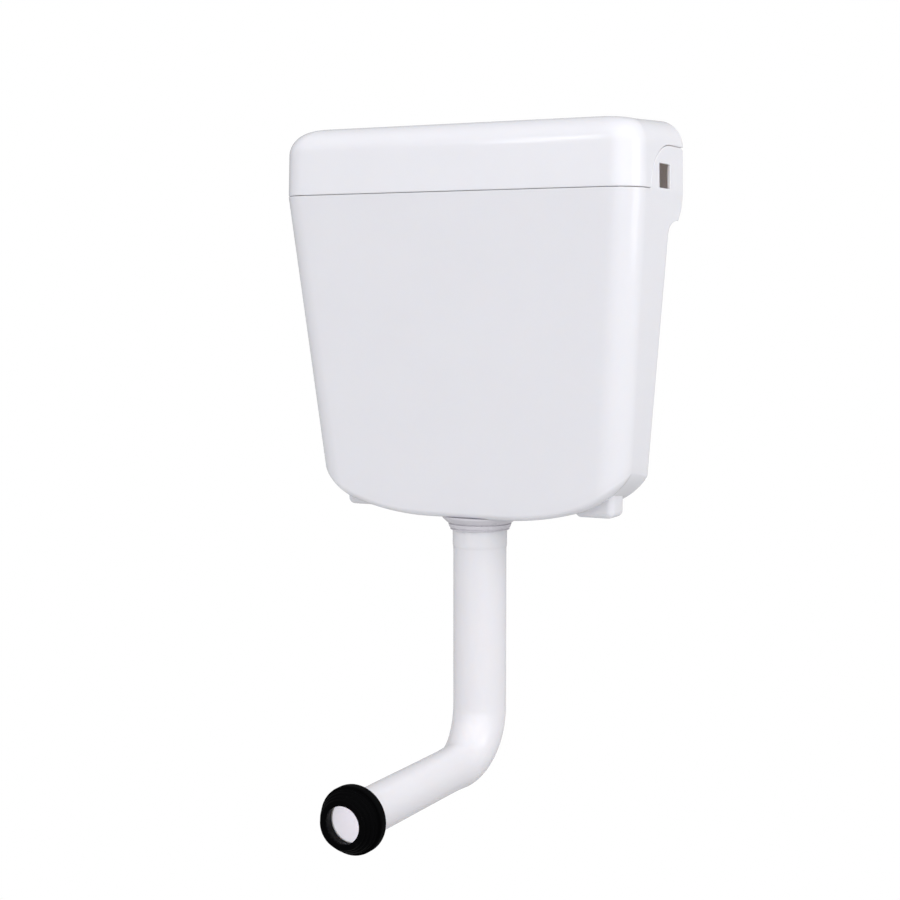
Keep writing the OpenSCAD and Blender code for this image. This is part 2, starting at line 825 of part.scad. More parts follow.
ring_h = 8;
module tail_ring() {
    color(rubber)
        at_outlet()
            translate([0, 0, nut_foot_z - ring_h])
                tube(socket_r - pipe_wall - seat_play, tail_r + seat_play, ring_h);
}

// Overflow tube's stack on the seat, from the bottom up
seal_t = 3;
seal_overlap = 0.8;
seal_r = seat_outer_r + seal_overlap;
carrier_t = 3;
carrier_inset = 1.5;
carrier_r = seal_r - carrier_inset;
seal_z = flange_top + seat_lip + slide_gap;
carrier_z = seal_z + seal_t;
float_z = carrier_z + carrier_t;
overflow_wall = 2;
overflow_top = -overflow_drop;
lift_x = pivot_x + lift_arm;
side_arm_w = 8;
side_arm_h = 6;
side_arm_drop = 14;
side_arm_z = overflow_top - side_arm_drop;
link_r = 2;
link_overhang = 4;
eye_t = 5;
lift_end_r = 2.5;
lift_end_z = -pivot_drop - lift_arm * sin(rest_tilt);

module overflow_tube() {
    color(inner_blue)
        at_outlet()
            difference() {
                union() {
                    translate([0, 0, carrier_z])
                        cylinder(r = overflow_r, h = overflow_top - carrier_z);
                    translate([0, 0, carrier_z])
                        cylinder(r = carrier_r, h = carrier_t);
                    translate([overflow_r - overflow_wall / 2, -side_arm_w / 2, side_arm_z])
                        cube([lift_x + link_r + link_overhang - overflow_r + overflow_wall / 2,
                            side_arm_w, side_arm_h]);
                }
                translate([0, 0, carrier_z - over])
                    cylinder(r = overflow_r - overflow_wall, h = overflow_top - carrier_z + 2 * over);
                translate([lift_x, 0, side_arm_z - over])
                    cylinder(r = link_r + seat_play, h = side_arm_h + 2 * over);
            }
}

module seat_seal() {
    color(rubber)
        at_outlet()
            translate([0, 0, seal_z])
                tube(seal_r, overflow_r - overflow_wall, seal_t);
}

valve_float_inset = 0.5;
module valve_float() {
    color("white")
        at_outlet()
            translate([0, 0, float_z])
                tube(carrier_r - valve_float_inset, overflow_r + thread_play, valve_float_h);
}

// Link from the rocker's lift end to the overflow tube's side arm, with a slotted eye
eye_slot = 1.6;
eye_wall = 2;
link_collar = 1.5;
link_foot = 2;

module lift_link() {
    half_slot = eye_slot / 2;
    hole_r = lift_end_r + slide_gap;
    eye_r = hole_r + eye_wall;
    link_top = lift_end_z - hole_r - eye_wall / 2;
    color(inner_white)
        at_outlet()
            translate([lift_x, 0, 0])
                difference() {
                    union() {
                        translate([0, 0, side_arm_z - link_foot])
                            cylinder(r = link_r, h = link_top - side_arm_z + link_foot);
                        translate([0, 0, side_arm_z + side_arm_h])
                            cylinder(r = link_r + link_collar, h = link_foot);
                        for (x = [-half_slot, half_slot])
                            translate([x, -eye_t / 2, lift_end_z])
                                bar_y(eye_r, eye_t);
                        translate([-half_slot, -eye_t / 2, lift_end_z - eye_r])
                            cube([eye_slot, eye_t, 2 * eye_r]);
                    }
                    for (x = [-half_slot, half_slot])
                        translate([x, -eye_t / 2 - over, lift_end_z])
                            bar_y(hole_r, eye_t + 2 * over);
                    translate([-half_slot, -eye_t / 2 - over, lift_end_z - hole_r])
                        cube([eye_slot, eye_t + 2 * over, 2 * hole_r]);
                }
}

// Tower: a disc on the basket, two uprights and two guide plates
tower_disc_t = 4;
tower_skirt = 6;
tower_skirt_t = 1.7;
upright_t = 3;
upright_w = 18;
upright_gap = 24;
guide_r = overflow_r + slide_gap;
guide_drop = 50;
guide_z = overflow_top - guide_drop;
guide_t = 4;
guide_rim = 3;
brace_t = 4;
brace_w = 5;
brace_drop = 20;
brace_z = -pivot_drop - brace_drop;
pin_r = 2.5;
upright_rise = 8;
upright_top = -pivot_drop + upright_rise;
root = 0.5;
drain_r = 3;

module valve_tower() {
    skirt_r = basket_r - basket_wall - slide_gap;
    across = upright_gap + upright_t;
    upright_low = basket_top + root;
    color(inner_white)
        at_outlet()
            difference() {
                union() {
                    translate([0, 0, basket_top])
                        cylinder(r = basket_r, h = tower_disc_t);
                    translate([0, 0, basket_top - tower_skirt])
                        tube(skirt_r, skirt_r - tower_skirt_t, tower_skirt + root);
                    for (side = [-1, 1])
                        translate([pivot_x - upright_w / 2, (side * across - upright_t) / 2, upright_low])
                            cube([upright_w, upright_t, upright_top - upright_low]);
                    translate([-guide_r - guide_rim, -across / 2, guide_z])
                        cube([guide_r + guide_rim + pivot_x + upright_w / 2, across, guide_t]);
                    translate([pivot_x + upright_w / 2 - brace_w, -across / 2, brace_z])
                        cube([brace_w, across, brace_t]);
                }
                translate([0, 0, guide_z - over])
                    cylinder(r = guide_r, h = guide_t + 2 * over);
                translate([0, 0, basket_top - over])
                    cylinder(r = guide_r, h = tower_disc_t + 2 * over);
                translate([pivot_x, -upright_gap, -pivot_drop])
                    bar_y(pin_r, 2 * upright_gap);
                for (turn = [0:90:270])
                    rotate([0, 0, 45 + turn])
                        translate([(guide_r + basket_r - basket_wall) / 2, 0, basket_top - over])
                            cylinder(r = drain_r, h = tower_disc_t + 2 * over);
            }
}

pin_head = 1.5;
pin_head_rim = 1.5;
module rocker_pin() {
    reach = upright_gap / 2 + upright_t;
    color(steel)
        at_outlet()
            translate([pivot_x, 0, -pivot_drop]) {
                translate([0, -reach - pin_head, 0])
                    bar_y(pin_r - pin_play, 2 * reach + 2 * pin_head);
                translate([0, -reach - thread_play - pin_head, 0])
                    bar_y(pin_r + pin_head_rim, pin_head);
            }
}

// The rocker is drawn level in its own frame, pivot at the origin, then tilted to rest
rocker_w = 8;
rocker_bar = 5;
prong_t = 2;
rocker_hub_r = 5;
hub_half = upright_gap / 2 - slide_gap;

module rocker() {
    prong_y = eye_t / 2 + slide_gap;
    color(inner_blue)
        at_outlet()
            translate([pivot_x, 0, -pivot_drop])
                rotate([0, rest_tilt, 0])
                    difference() {
                        union() {
                            translate([0, -hub_half, 0])
                                bar_y(rocker_hub_r, 2 * hub_half);
                            translate([-push_arm, -rocker_w / 2, 0])
                                bar_y(pad_r, rocker_w);
                            translate([-push_arm, -rocker_w / 2, -rocker_bar / 2])
                                cube([push_arm, rocker_w, rocker_bar]);
                            for (side = [-1, 1])
                                translate([0, side > 0 ? prong_y : -prong_y - prong_t, -rocker_bar / 2])
                                    cube([lift_arm, prong_t, rocker_bar]);
                            translate([lift_arm, -prong_y - prong_t, 0])
                                bar_y(lift_end_r, 2 * prong_y + 2 * prong_t);
                        }
                        translate([0, -hub_half - over, 0])
                            bar_y(pin_r - pin_play + pin_clearance, 2 * (hub_half + over));
                    }
}

// Fill valve
fill_x = half_w - fill_inset;
fill_y = -opening_from_wall;
module at_fill() {
    at_seam()
        translate([fill_x, fill_y, 0])
            children();
}

barrel_r = 12;
barrel_drop = 16;
barrel_rise = 12;
top_r = 13;
top_flange_t = 2;
bracket_x = 28;
bracket_t = 3;
collar_r = 13.5;
tail_collar_t = 3;
barrel_top = opening_z + barrel_rise;
barrel_low = opening_z - barrel_drop;
riser_seat = 8;
washer_t = 2;
locknut_t = 6;
locknut_flats = 27;
thread_groove_w = 1;
thread_groove_depth = 0.5;
tail_x = bracket_x + bracket_t + inlet_reach;
chamber_drop = 4;
groove_outer = 10;
groove_inner = 6;
channel_r = 1.8;
pilot_seat_r = 3;

module fill_body() {
    chamber_floor = barrel_top - chamber_drop;
    channel_low = barrel_low + riser_seat - over;
    color(inner_white)
        at_fill()
            difference() {
                union() {
                    translate([0, 0, barrel_low])
                        cylinder(r = barrel_r, h = barrel_top - barrel_low);
                    translate([0, 0, barrel_top - top_flange_t])
                        cylinder(r = top_r, h = top_flange_t);
                    translate([0, 0, opening_z])
                        bar_x(inlet_r, tail_x);
                    translate([bracket_x - tail_collar_t, 0, opening_z])
                        bar_x(collar_r, tail_collar_t);
                }
                translate([0, 0, opening_z])
                    bar_x(inlet_bore_r, tail_x + over);
                translate([bracket_x + bracket_t + washer_t + locknut_t, 0, opening_z])
                    rotate([0, 90, 0])
                        tube(inlet_r + over, inlet_r - thread_groove_depth, thread_groove_w);
                translate([0, 0, opening_z])
                    cylinder(r = pilot_seat_r, h = barrel_rise + over);
                translate([0, 0, barrel_top - chamber_drop])
                    tube(groove_outer, groove_inner, chamber_drop + over);
                for (side = [-1, 1])
                    translate([0, side * (groove_outer + groove_inner) / 2, channel_low])
                        cylinder(r = channel_r, h = chamber_floor - channel_low + over);
                translate([0, 0, barrel_low - over])
                    cylinder(r = riser_r + seat_play, h = riser_seat + over);
            }
}

// Bracket: a plate with the tail's hole, and a foot welded to the tank's back wall
bracket_half_h = 20;
bracket_foot_w = 22;
bracket_front = 17;
bracket_hole_play = 0.3;
module inlet_bracket() {
    z = opening_z;
    depth = opening_from_wall - wall + bracket_front;
    color(white)
        at_fill()
            difference() {
                union() {
                    translate([bracket_x, -bracket_front, z - bracket_half_h])
                        cube([bracket_t, depth, 2 * bracket_half_h]);
                    translate([bracket_x, depth - bracket_front - bracket_t, z - bracket_half_h])
                        cube([bracket_foot_w, bracket_t, 2 * bracket_half_h]);
                    translate([bracket_x, -bracket_front, z - bracket_half_h])
                        cube([bracket_foot_w / 2, depth, bracket_t]);
                }
                translate([bracket_x - over, 0, z])
                    bar_x(inlet_r + bracket_hole_play, bracket_t + 2 * over);
            }
}

washer_w = 2.8;
module inlet_washer() {
    color(rubber)
        at_fill()
            translate([bracket_x + bracket_t, 0, opening_z])
                difference() {
                    bar_x(inlet_r + washer_w, washer_t);
                    translate([-over, 0, 0])
                        bar_x(inlet_r + thread_play, washer_t + 2 * over);
                }
}

module inlet_locknut() {
    color(inner_white)
        at_fill()
            translate([bracket_x + bracket_t + washer_t, 0, opening_z])
                difference() {
                    rotate([0, 90, 0])
                        cylinder(d = locknut_flats / cos(30), h = locknut_t, $fn = 6);
                    translate([-over, 0, 0])
                        bar_x(inlet_r + thread_play, locknut_t + 2 * over);
                }
}

diaphragm_t = 1.6;
diaphragm_z = barrel_top + seat_play;
diaphragm_inset = 1.2;
module fill_diaphragm() {
    color(rubber)
        at_fill()
            translate([0, 0, diaphragm_z])
                cylinder(r = top_r - diaphragm_inset, h = diaphragm_t);
}

// Cap: it covers the diaphragm, carries the pilot on an arm to the back and the pivot's ears
cap_z = barrel_top;
cap_h = 6;
cap_skirt_wall = 1;
pilot_boss_r = 3.5;
pilot_hole_r = 0.8;
arm_t = 3.6;
ear_t = 2.4;
arm_w = 6;
arm_pin_r = 1.5;
arm_swing = float_travel / arm_half * 180 / PI;
arm_rest_tilt = arm_swing / 2;
pad_drop = 4;
bridge_h = 2;
bridge_z = cap_z + diaphragm_t + 1;
cap_room = 1.4;
ear_len = 7;
ear_top = 3.5;
arm_pivot_z = cap_z + cap_h + slide_gap + top_r * tan(arm_rest_tilt) + arm_t / 2 / cos(arm_rest_tilt);
pilot_z = arm_pivot_z - arm_half * sin(arm_rest_tilt) - pad_drop / 2 - slide_gap;

module fill_cap() {
    ear_x = arm_w / 2 + slide_gap + ear_t / 2;
    color(inner_blue)
        at_fill()
            difference() {
                union() {
                    translate([0, 0, cap_z + seat_play])
                        cylinder(r = top_r, h = cap_h);
                    translate([-pilot_boss_r, 0, bridge_z])
                        cube([2 * pilot_boss_r, arm_half, bridge_h]);
                    translate([0, arm_half, bridge_z])
                        cylinder(r = pilot_boss_r, h = pilot_z - bridge_z);
                    for (side = [-1, 1])
                        translate([side * ear_x - ear_t / 2, -ear_len / 2, cap_z + cap_h - root])
                            cube([ear_t, ear_len, arm_pivot_z - cap_z - cap_h + ear_top]);
                }
                translate([0, 0, cap_z - over])
                    cylinder(r = top_r - cap_skirt_wall, h = diaphragm_t + cap_room);
                translate([0, arm_half, bridge_z + bridge_h / 2])
                    cylinder(r = pilot_hole_r, h = pilot_z);
                translate([-top_r, 0, arm_pivot_z])
                    bar_x(arm_pin_r, 2 * top_r);
            }
}

arm_pin_head = 1.2;
arm_pin_rim = 1;
module arm_pin() {
    reach = arm_w / 2 + slide_gap + ear_t;
    color(steel)
        at_fill()
            translate([0, 0, arm_pivot_z]) {
                translate([-reach - arm_pin_head, 0, 0])
                    bar_x(arm_pin_r - pin_play, 2 * reach + 2 * arm_pin_head);
                translate([-reach - thread_play - arm_pin_head, 0, 0])
                    bar_x(arm_pin_r + arm_pin_rim, arm_pin_head);
            }
}

rod_slot = 2;
float_rod_r = 1.4;
arm_hub_wall = 1.2;
module float_arm() {
    color(inner_blue)
        at_fill()
            translate([0, 0, arm_pivot_z])
                rotate([arm_rest_tilt, 0, 0])
                    difference() {
                        union() {
                            translate([-arm_w / 2, 0, 0])
                                bar_x(arm_t / 2 + arm_hub_wall, arm_w);
                            translate([-arm_w / 2, -arm_half, -arm_t / 2])
                                cube([arm_w, 2 * arm_half, arm_t]);
                            translate([-arm_w / 2, -arm_half, 0])
                                bar_x(arm_t / 2, arm_w);
                            translate([-arm_w / 2, arm_half, 0])
                                bar_x(pad_drop / 2, arm_w);
                        }
                        translate([-arm_w / 2 - over, 0, 0])
                            bar_x(arm_pin_r - pin_play + pin_clearance, arm_w + 2 * over);
                        translate([-float_rod_r - slide_gap, -arm_half - arm_t, -arm_t])
                            cube([2 * (float_rod_r + slide_gap), arm_t + rod_slot + float_rod_r, 2 * arm_t]);
                    }
}

// Riser, float cup and rod
float_top = -float_drop;
float_low = float_top - float_h;
riser_stop_t = 3;
riser_stop_rim = 3;
riser_tail = 6;
riser_wall = 2;
riser_stop_z = float_low - slide_gap - riser_stop_t;
riser_end = riser_stop_z - riser_tail;
module riser_tube() {
    color(inner_white)
        at_fill()
            difference() {
                union() {
                    translate([0, 0, riser_end])
                        cylinder(r = riser_r, h = barrel_low + riser_seat - root - riser_end);
                    translate([0, 0, riser_stop_z])
                        cylinder(r = riser_r + riser_stop_rim, h = riser_stop_t);
                }
                translate([0, 0, riser_end - over])
                    cylinder(r = riser_r - riser_wall, h = barrel_low + riser_seat - riser_end + 2 * over);
            }
}

float_wall = 1.8;
float_top_t = 3.8;
module float_cup() {
    bore_r = riser_r + slide_gap;
    color(inner_blue)
        at_fill()
            difference() {
                translate([0, 0, float_low])
                    cylinder(r = float_r, h = float_h);
                translate([0, 0, float_low - over])
                    cylinder(r = bore_r, h = float_h + 2 * over);
                translate([0, 0, float_low - over])
                    tube(float_r - float_wall, bore_r + float_wall, float_h - float_top_t + over);
            }
}

rod_collar_r = 2.6;
rod_collar_t = 1.6;
rod_end = 2;

// The rod's collars stay clear of the tilted fork: half the fork's upright size where the collars
// meet it, and below it also what the rod rises more than the fork's end does
collar_reach = sqrt(pow(rod_collar_r, 2) - pow(float_rod_r + slide_gap, 2));
fork_shift = arm_half * (1 - cos(arm_rest_tilt));
fork_half = arm_t / 2 / cos(arm_rest_tilt) + max(0, collar_reach - fork_shift) * tan(arm_rest_tilt);
fork_lag = float_travel - 2 * arm_half * sin(arm_rest_tilt);

module float_rod() {
    arm_end_z = arm_pivot_z - arm_half * sin(arm_rest_tilt);
    upper = arm_end_z + fork_half + slide_gap;
    lower = arm_end_z - fork_half - fork_lag - slide_gap - rod_collar_t;
    color(steel)
        at_fill()
            translate([0, -arm_half, 0]) {
                translate([0, 0, float_top])
                    cylinder(r = float_rod_r, h = upper + rod_collar_t + rod_end - float_top);
                for (z = [upper, lower])
                    translate([0, 0, z])
                        cylinder(r = rod_collar_r, h = rod_collar_t);
            }
}

// Flush pipe: socket, upright leg, bend, cone and level leg
level_z = nut_foot_z - upright_length;
bend_end = bend_r + taper_length;

module pipe_body(grow) {
    translate([0, 0, level_z + bend_r])
        cylinder(r = pipe_r + grow, h = socket_top - level_z - bend_r);
    translate([0, -bend_r, level_z + bend_r])
        rotate([90, 0, 90])
            rotate([0, 0, -90])
                rotate_extrude(angle = 90)
                    translate([bend_r, 0])
                        circle(r = pipe_r + grow);
    translate([0, -bend_r, level_z])
        rotate([90, 0, 0])
            cylinder(r1 = pipe_r + grow, r2 = pipe_low_r + grow, h = taper_length);
    translate([0, -bend_end, level_z])
        rotate([90, 0, 0])
            cylinder(r = pipe_low_r + grow, h = level_length - bend_end);
}

module flush_pipe() {
    color(white)
        at_outlet()
            difference() {
                union() {
                    pipe_body(0);
                    translate([0, 0, socket_top - socket_length])
                        cylinder(r = socket_r, h = socket_length);
                    translate([0, 0, socket_top - collar_t])
                        cylinder(r = socket_r + collar_lip, h = collar_t);
                }
                pipe_body(-pipe_wall);
                translate([0, 0, socket_top - socket_length])
                    cylinder(r = socket_r - pipe_wall, h = socket_length + over);
                translate([0, -level_length + over, level_z])
                    rotate([90, 0, 0])
                        cylinder(r = pipe_low_r - pipe_wall, h = 2 * over);
            }
}

// Rubber connector, drawn along its axis from the flange's back face to the nose's tip
nose_land = 4;
fin_count = 3;
fin_depth = 1.5;
fin_flare = 0.4;
edge_r = 1.2;
lip_edge = 0.6;
nose_lip_t = 3;
seat_lap = 1;
module pan_connector() {
    bore_r = pipe_low_r + seat_play;
    tip = connector_flange + nose_length;
    fin_pitch = (nose_length - nose_land) / fin_count;
    function fin_r(k) = nose_r + (nose_tip_r - nose_r) * k / fin_count;
    color(rubber)
        at_outlet()
            translate([0, -level_length + pipe_seat, level_z])
                rotate([90, 0, 0])
                    rotate_extrude()
                        polygon(concat(
                            [[bore_r, 0], [connector_r - edge_r, 0], [connector_r, edge_r],
                                [connector_r, connector_flange - edge_r],
                                [connector_r - edge_r, connector_flange],
                                [nose_r, connector_flange], [nose_r, connector_flange + nose_land]],
                            [for (k = [0:fin_count - 1])
                                let (z = connector_flange + nose_land + k * fin_pitch)
                                each [[fin_r(k) - fin_depth, z + fin_pitch * 0.3],
                                    [fin_r(k) - fin_depth * 0.6, z + fin_pitch * 0.5],
                                    [fin_r(k + 1) + fin_flare, z + fin_pitch]]],
                            [[nose_tip_r - lip_edge, tip], [mouth_r + lip_edge, tip],
                                [mouth_r, tip - lip_edge], [mouth_r, tip - nose_lip_t],
                                [bore_r - seat_lap, pipe_seat + seat_lap],
                                [bore_r, pipe_seat + thread_play]]));
}

tank();
side_plug();
lid();
button_bezel();
bezel_nut();
flush_button();
push_rod();
button_spring();
valve_base();
base_gasket();
outlet_nut();
tail_ring();
valve_tower();
rocker();
rocker_pin();
overflow_tube();
seat_seal();
valve_float();
lift_link();
inlet_bracket();
fill_body();
inlet_washer();
inlet_locknut();
fill_diaphragm();
fill_cap();
riser_tube();
float_arm();
arm_pin();
float_cup();
float_rod();
flush_pipe();
pan_connector();
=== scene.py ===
"""A low-level wall-hung cistern with its flush bend: moulded shells, finishes and studio."""
import math

import bmesh
import bpy
import numpy as np
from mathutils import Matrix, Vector


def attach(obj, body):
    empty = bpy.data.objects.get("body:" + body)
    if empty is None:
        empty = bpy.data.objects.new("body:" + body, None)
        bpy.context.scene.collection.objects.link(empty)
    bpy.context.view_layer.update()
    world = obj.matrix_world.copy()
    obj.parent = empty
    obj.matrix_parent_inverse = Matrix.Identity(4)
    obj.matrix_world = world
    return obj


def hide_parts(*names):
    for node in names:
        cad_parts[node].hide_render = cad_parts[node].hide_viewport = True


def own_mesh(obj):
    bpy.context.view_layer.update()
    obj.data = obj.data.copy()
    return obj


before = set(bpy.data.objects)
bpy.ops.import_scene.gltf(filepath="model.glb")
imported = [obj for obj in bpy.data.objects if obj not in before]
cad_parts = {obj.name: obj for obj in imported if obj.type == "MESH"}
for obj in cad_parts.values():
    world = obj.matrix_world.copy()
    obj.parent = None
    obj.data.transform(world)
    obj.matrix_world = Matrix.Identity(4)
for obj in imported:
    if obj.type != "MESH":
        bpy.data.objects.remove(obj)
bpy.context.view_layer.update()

# Everything is drawn in millimetres from the lid seam: the wall is y = 0, +X the viewer's right.
MM = 0.001
SEAM_Z = -0.024

# Faces that meet at more than SHARP keep a hard edge, a CAD copy's at less than FLAT are joined, and points
# nearer than MERGE (in metres) become one. A rounded rectangle has RING_STEPS points to a quarter, a turned
# piece TURN_STEPS round its axis, and TINY keeps a corner from shrinking to a point.
SHARP = math.radians(34)
FLAT = math.radians(0.5)
MERGE = 2e-6
RING_STEPS = 7
TURN_STEPS = 128
MOST_OF_SIDE = 0.45
TINY = 0.01

# Tank
HALF_W = 179.0
BODY_D = 119.0
BODY_H = 298.0
BOTTOM_D = 86.6
WALL = 3.0
SIDE_SLOPE = math.tan(math.radians(5))
FRONT_SLOPE = (BODY_D - BOTTOM_D) / BODY_H
FRONT_CORNER = 26.0
BACK_CORNER = 8.0
BACK_CORNER_TOP = 1.0
CORNER_NARROWS = 0.5
FLANGE_DROP = 25.0
FLANGE_ROWS = (-8.5, -11.0, -14.0, -17.0, -19.5)
WALL_GAP = 23.0
BACK_LEAN = 5.0
SHELF_H = 13.2
BOW_RISE = 20.0
BOW_FLAT = 45.0
BOW_LEAST = 0.05
BOTTOM_HALF_W = HALF_W - (BODY_H - BOW_RISE) * SIDE_SLOPE
FRONT_ROUND = (6.0, 14.0)
FRONT_ROUND_POWER = 4
BACK_ROUND = 5.0
SIDE_ROUND = (28.0, 22.0)
SIDE_ROUND_POWER = 1.5
ROUND_SHARE = 0.9
EAR_H = 40.0
EAR_D = 82.0
EAR_CURVE = 50.0
EAR_CHAMFER = 5.0
EAR_FILLET = 1.5
EAR_CHAMFER_UP = (0.447, 0.894)
EAR_END_CLEAR = 0.2
KNEE_Z = -6.0
KNEE_KEEP = 0.9
RIM_ROUND = 0.6
OUTLET_Y = -53.0
HOLE_R = 24.3

# The openings: width, height, and where the middle is (y and z in the ears, x and z in the back)
OPENING = (27.0, 21.5, -47.5, 12.5)
OPENING_CORNER = 1.2
OPENING_FLARE = 0.5
SLOT = (16.0, 8.0, 80.0, 24.0)
SLOT_FLARE = 0.4
CUT_PAST = 3.0

# The feet: half length and depth, place, and how far they go into the tank's floor. LOW_ROW is the
# first row of the tank's skin below the shelf.
FOOT_HALF = (19.0, 15.0)
FOOT_ROUND = 6.0
FOOT_AT = (119.0, -49.0, 0.0)
FOOT_Z = -293.5
FOOT_SINK = 1.4
LOW_ROW = 40

# Lid
LID_GAP = 0.6
LID_H = 65.0
LID_EDGE_H = 62.5
LID_CORNER_FALL = 1.0
LID_FRONT_ROUND = (26.0, 22.0)
LID_SIDE_ROUND = (21.0, 24.0)
LID_BACK_IN = 3.0
LID_CORNER_NARROWS = 0.3
LID_WALL = 2.5
LID_SLOPE = math.tan(math.radians(1))
LID_MID_Y = -BODY_D / 2
LID_BACK_Y = -0.8
LID_BITE = 0.8
LID_BY_WALL = 0.9
CROWN_WINDOW = 14
CROWN_POWER = 6
CROWN_EASE = 0.8
SEAT_Z = 62.5
SEAT_R = 29.3
SEAT_ROUND = 0.5
SEAT_BREAK = 0.3
BEZEL_HOLE_R = 24.3
BOSS_Z = 58.0
BOSS_R = 32.0

# Lips inside the lid's edge, the webs that carry them, and the front clips
LIP_GAP = 0.3
LIP_T = 2.0
LIP_DROP = 5.0
LIP_TOP = 8.0
LIP_HALF = 153.0
SIDE_LIP_Y = (-93.0, -85.0)
WEB_IN = 1.25
CLIP_X = (82.0, 98.0)
CLIP_DROP = 12.0
CLIP_TOP = 0.5
BAR_ROUND = 0.5

# Button, with 0.4 mm of air round the button and its rod
RIM_Z = 63.9
BEZEL_R = 29.0
WELL_Z = 43.9
NECK_R = 24.0
BUTTON_R = 21.0
BUTTON_H = 9.0
BUTTON_AT = (0, OUTLET_Y, 0)
BUTTON_AIR = 0.4
BUTTON_WALL = 2.0
BUTTON_ROUND = 1.4
WELL_FLOOR = 2.0
DISH_R = 19.4
DISH = 0.7
HUB_R = 4.5
ROD_R = 2.0
ROD_FIT = 0.05

# The return spring, from the well's floor to the button's underside
SPRING_LOW = WELL_Z + 2.1
SPRING_HIGH = RIM_Z - 2.1
SPRING_TURNS = 5
SPRING_FLATTEN = 0.055
COIL_R = 8.3
WIRE_R = 0.7
WIRE_STEPS = 14

# Outlet, pipe and connector
NUT_R = 36.0
NUT_BORE_R = 24.1
NUT_TOP = -298.1
NUT_FOOT = -311.0
SOCKET_TOP = -305.3
SOCKET_ROWS = (0.0, 0.4, 1.0, 2.0, 2.4, 2.8, 3.2, 5.0, 8.0, 12.0, 16.0, 20.0, 21.2, 22.0, 22.8, 24.0)
SOCKET_H = 20.0
SOCKET_EASE = 3.5
SOCKET_SWELL = 0.6
COLLAR_H = 2.2
COLLAR_EASE = 1.0
COLLAR_SWELL = 1.1
LEG_START = 30.0
LEVEL_Z = -527.5
PIPE_R = 25.0
PIPE_LOW_R = 20.0
PIPE_WALL = 1.8
BEND_R = 48.0
LEVEL_LENGTH = 241.0
TAPER_LATE = 10.0
TAPER_MORE = 16.0
PIPE_LIP = (0.25, 0.2)
CONNECTOR_Y = -287.0
FLANGE_R = 29.5
FLANGE_END = 8.5
LAND_R = 27.0
LAND_END = 12.5
TIP_R = 20.5
TIP_END = 23.5
FINS = 3
GRIP_R = 20.05
MOUTH_R = 16.0

# Rounds on the edges of the works: rubber and steel, plastic, and the side plug
FINE_ROUND = 0.15
WORKS_ROUND = 0.3
PLUG_ROUND = 0.7

# Boxes well inside the tank and the lid: a face that looks towards its box is an inner one
TANK_CORE = ((-140, -80, -240), (140, -35, 30))
LID_CORE = ((-140, -80, 0), (140, -35, 35))


def surface(name, points, wrap_rows=False):
    """A mesh from rows x columns of points: each quad joins two neighbours in both directions.

    Columns close on themselves. Rows that shrink to one point close as a fan of triangles.
    """
    rows, columns = points.shape[:2]
    i, j = np.meshgrid(np.arange(rows if wrap_rows else rows - 1), np.arange(columns), indexing="ij")
    i, j = i.ravel(), j.ravel()
    below, beside = (i + 1) % rows, (j + 1) % columns
    quads = np.stack(
        [i * columns + j, i * columns + beside, below * columns + beside, below * columns + j], 1
    )
    mesh = bpy.data.meshes.new(name)
    mesh.from_pydata(points.reshape(-1, 3) * MM + (0, 0, SEAM_Z), [], quads)
    return cleaned(name, mesh, MERGE, fix_shell)


def fix_shell(work):
    """Takes out what has no size, and turns the faces outwards."""
    bmesh.ops.dissolve_degenerate(work, edges=work.edges, dist=1e-7)
    bmesh.ops.recalc_face_normals(work, faces=work.faces)


def cleaned(name, mesh, apart, fix):
    """A piece from the mesh, its doubles merged and its faults fixed, smooth up to SHARP."""
    work = bmesh.new()
    work.from_mesh(mesh)
    bmesh.ops.remove_doubles(work, verts=work.verts, dist=apart)
    fix(work)
    work.to_mesh(mesh)
    work.free()
    mesh.shade_smooth()
    mesh.set_sharp_from_angle(angle=SHARP)
    return linked(name, mesh)


def read(items, name, kind=float, width=3):
    """One value of each of a mesh's items, as rows of a width."""
    values = np.empty(len(items) * width, dtype=kind)
    items.foreach_get(name, values)
    return values.reshape(-1, width)


def linked(name, data):
    """A new object in the scene."""
    piece = bpy.data.objects.new(name, data)
    bpy.context.collection.objects.link(piece)
    return piece


def place(piece, body, slot, finish, *nodes):
    """Gives a piece its finish and the body that carries it, and hides the CAD nodes that it stands for."""
    piece.data.materials.clear()
    piece.data.materials.append(finish)
    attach(piece, body)
    if nodes:
        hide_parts(*nodes)
    return piece


def cut(piece, cutters):
    """Takes the cutters' closed volumes out of a piece."""
    for cutter in cutters:
        modifier = piece.modifiers.new("cut", "BOOLEAN")
        modifier.object = cutter
        modifier.solver = "EXACT"
    done = piece.evaluated_get(bpy.context.evaluated_depsgraph_get())
    shape = bpy.data.meshes.new_from_object(done)
    piece.modifiers.clear()
    piece.data = shape
    for cutter in cutters:
        bpy.data.objects.remove(cutter)
    shape.set_sharp_from_angle(angle=SHARP)


def quarter(count, first=0, last=90):
    """Angles in even steps over a quarter turn."""
    return np.radians(np.linspace(first, last, count))


def eased(way):
    """A smooth step from 0 to 1: three times the square of the way, less twice its cube."""
    way = np.clip(way, 0, 1)
    return way ** 2 * (3 - 2 * way)


# Outline of the shells: half a turn from the front's middle to the back's middle, then mirrored.
# Zone 0 is the front line, 1 the front corner, 2 the side, 3 the back corner, 4 the back line.
SIDE_START = -BODY_D + FRONT_CORNER
SIDE_END = -BACK_CORNER_TOP


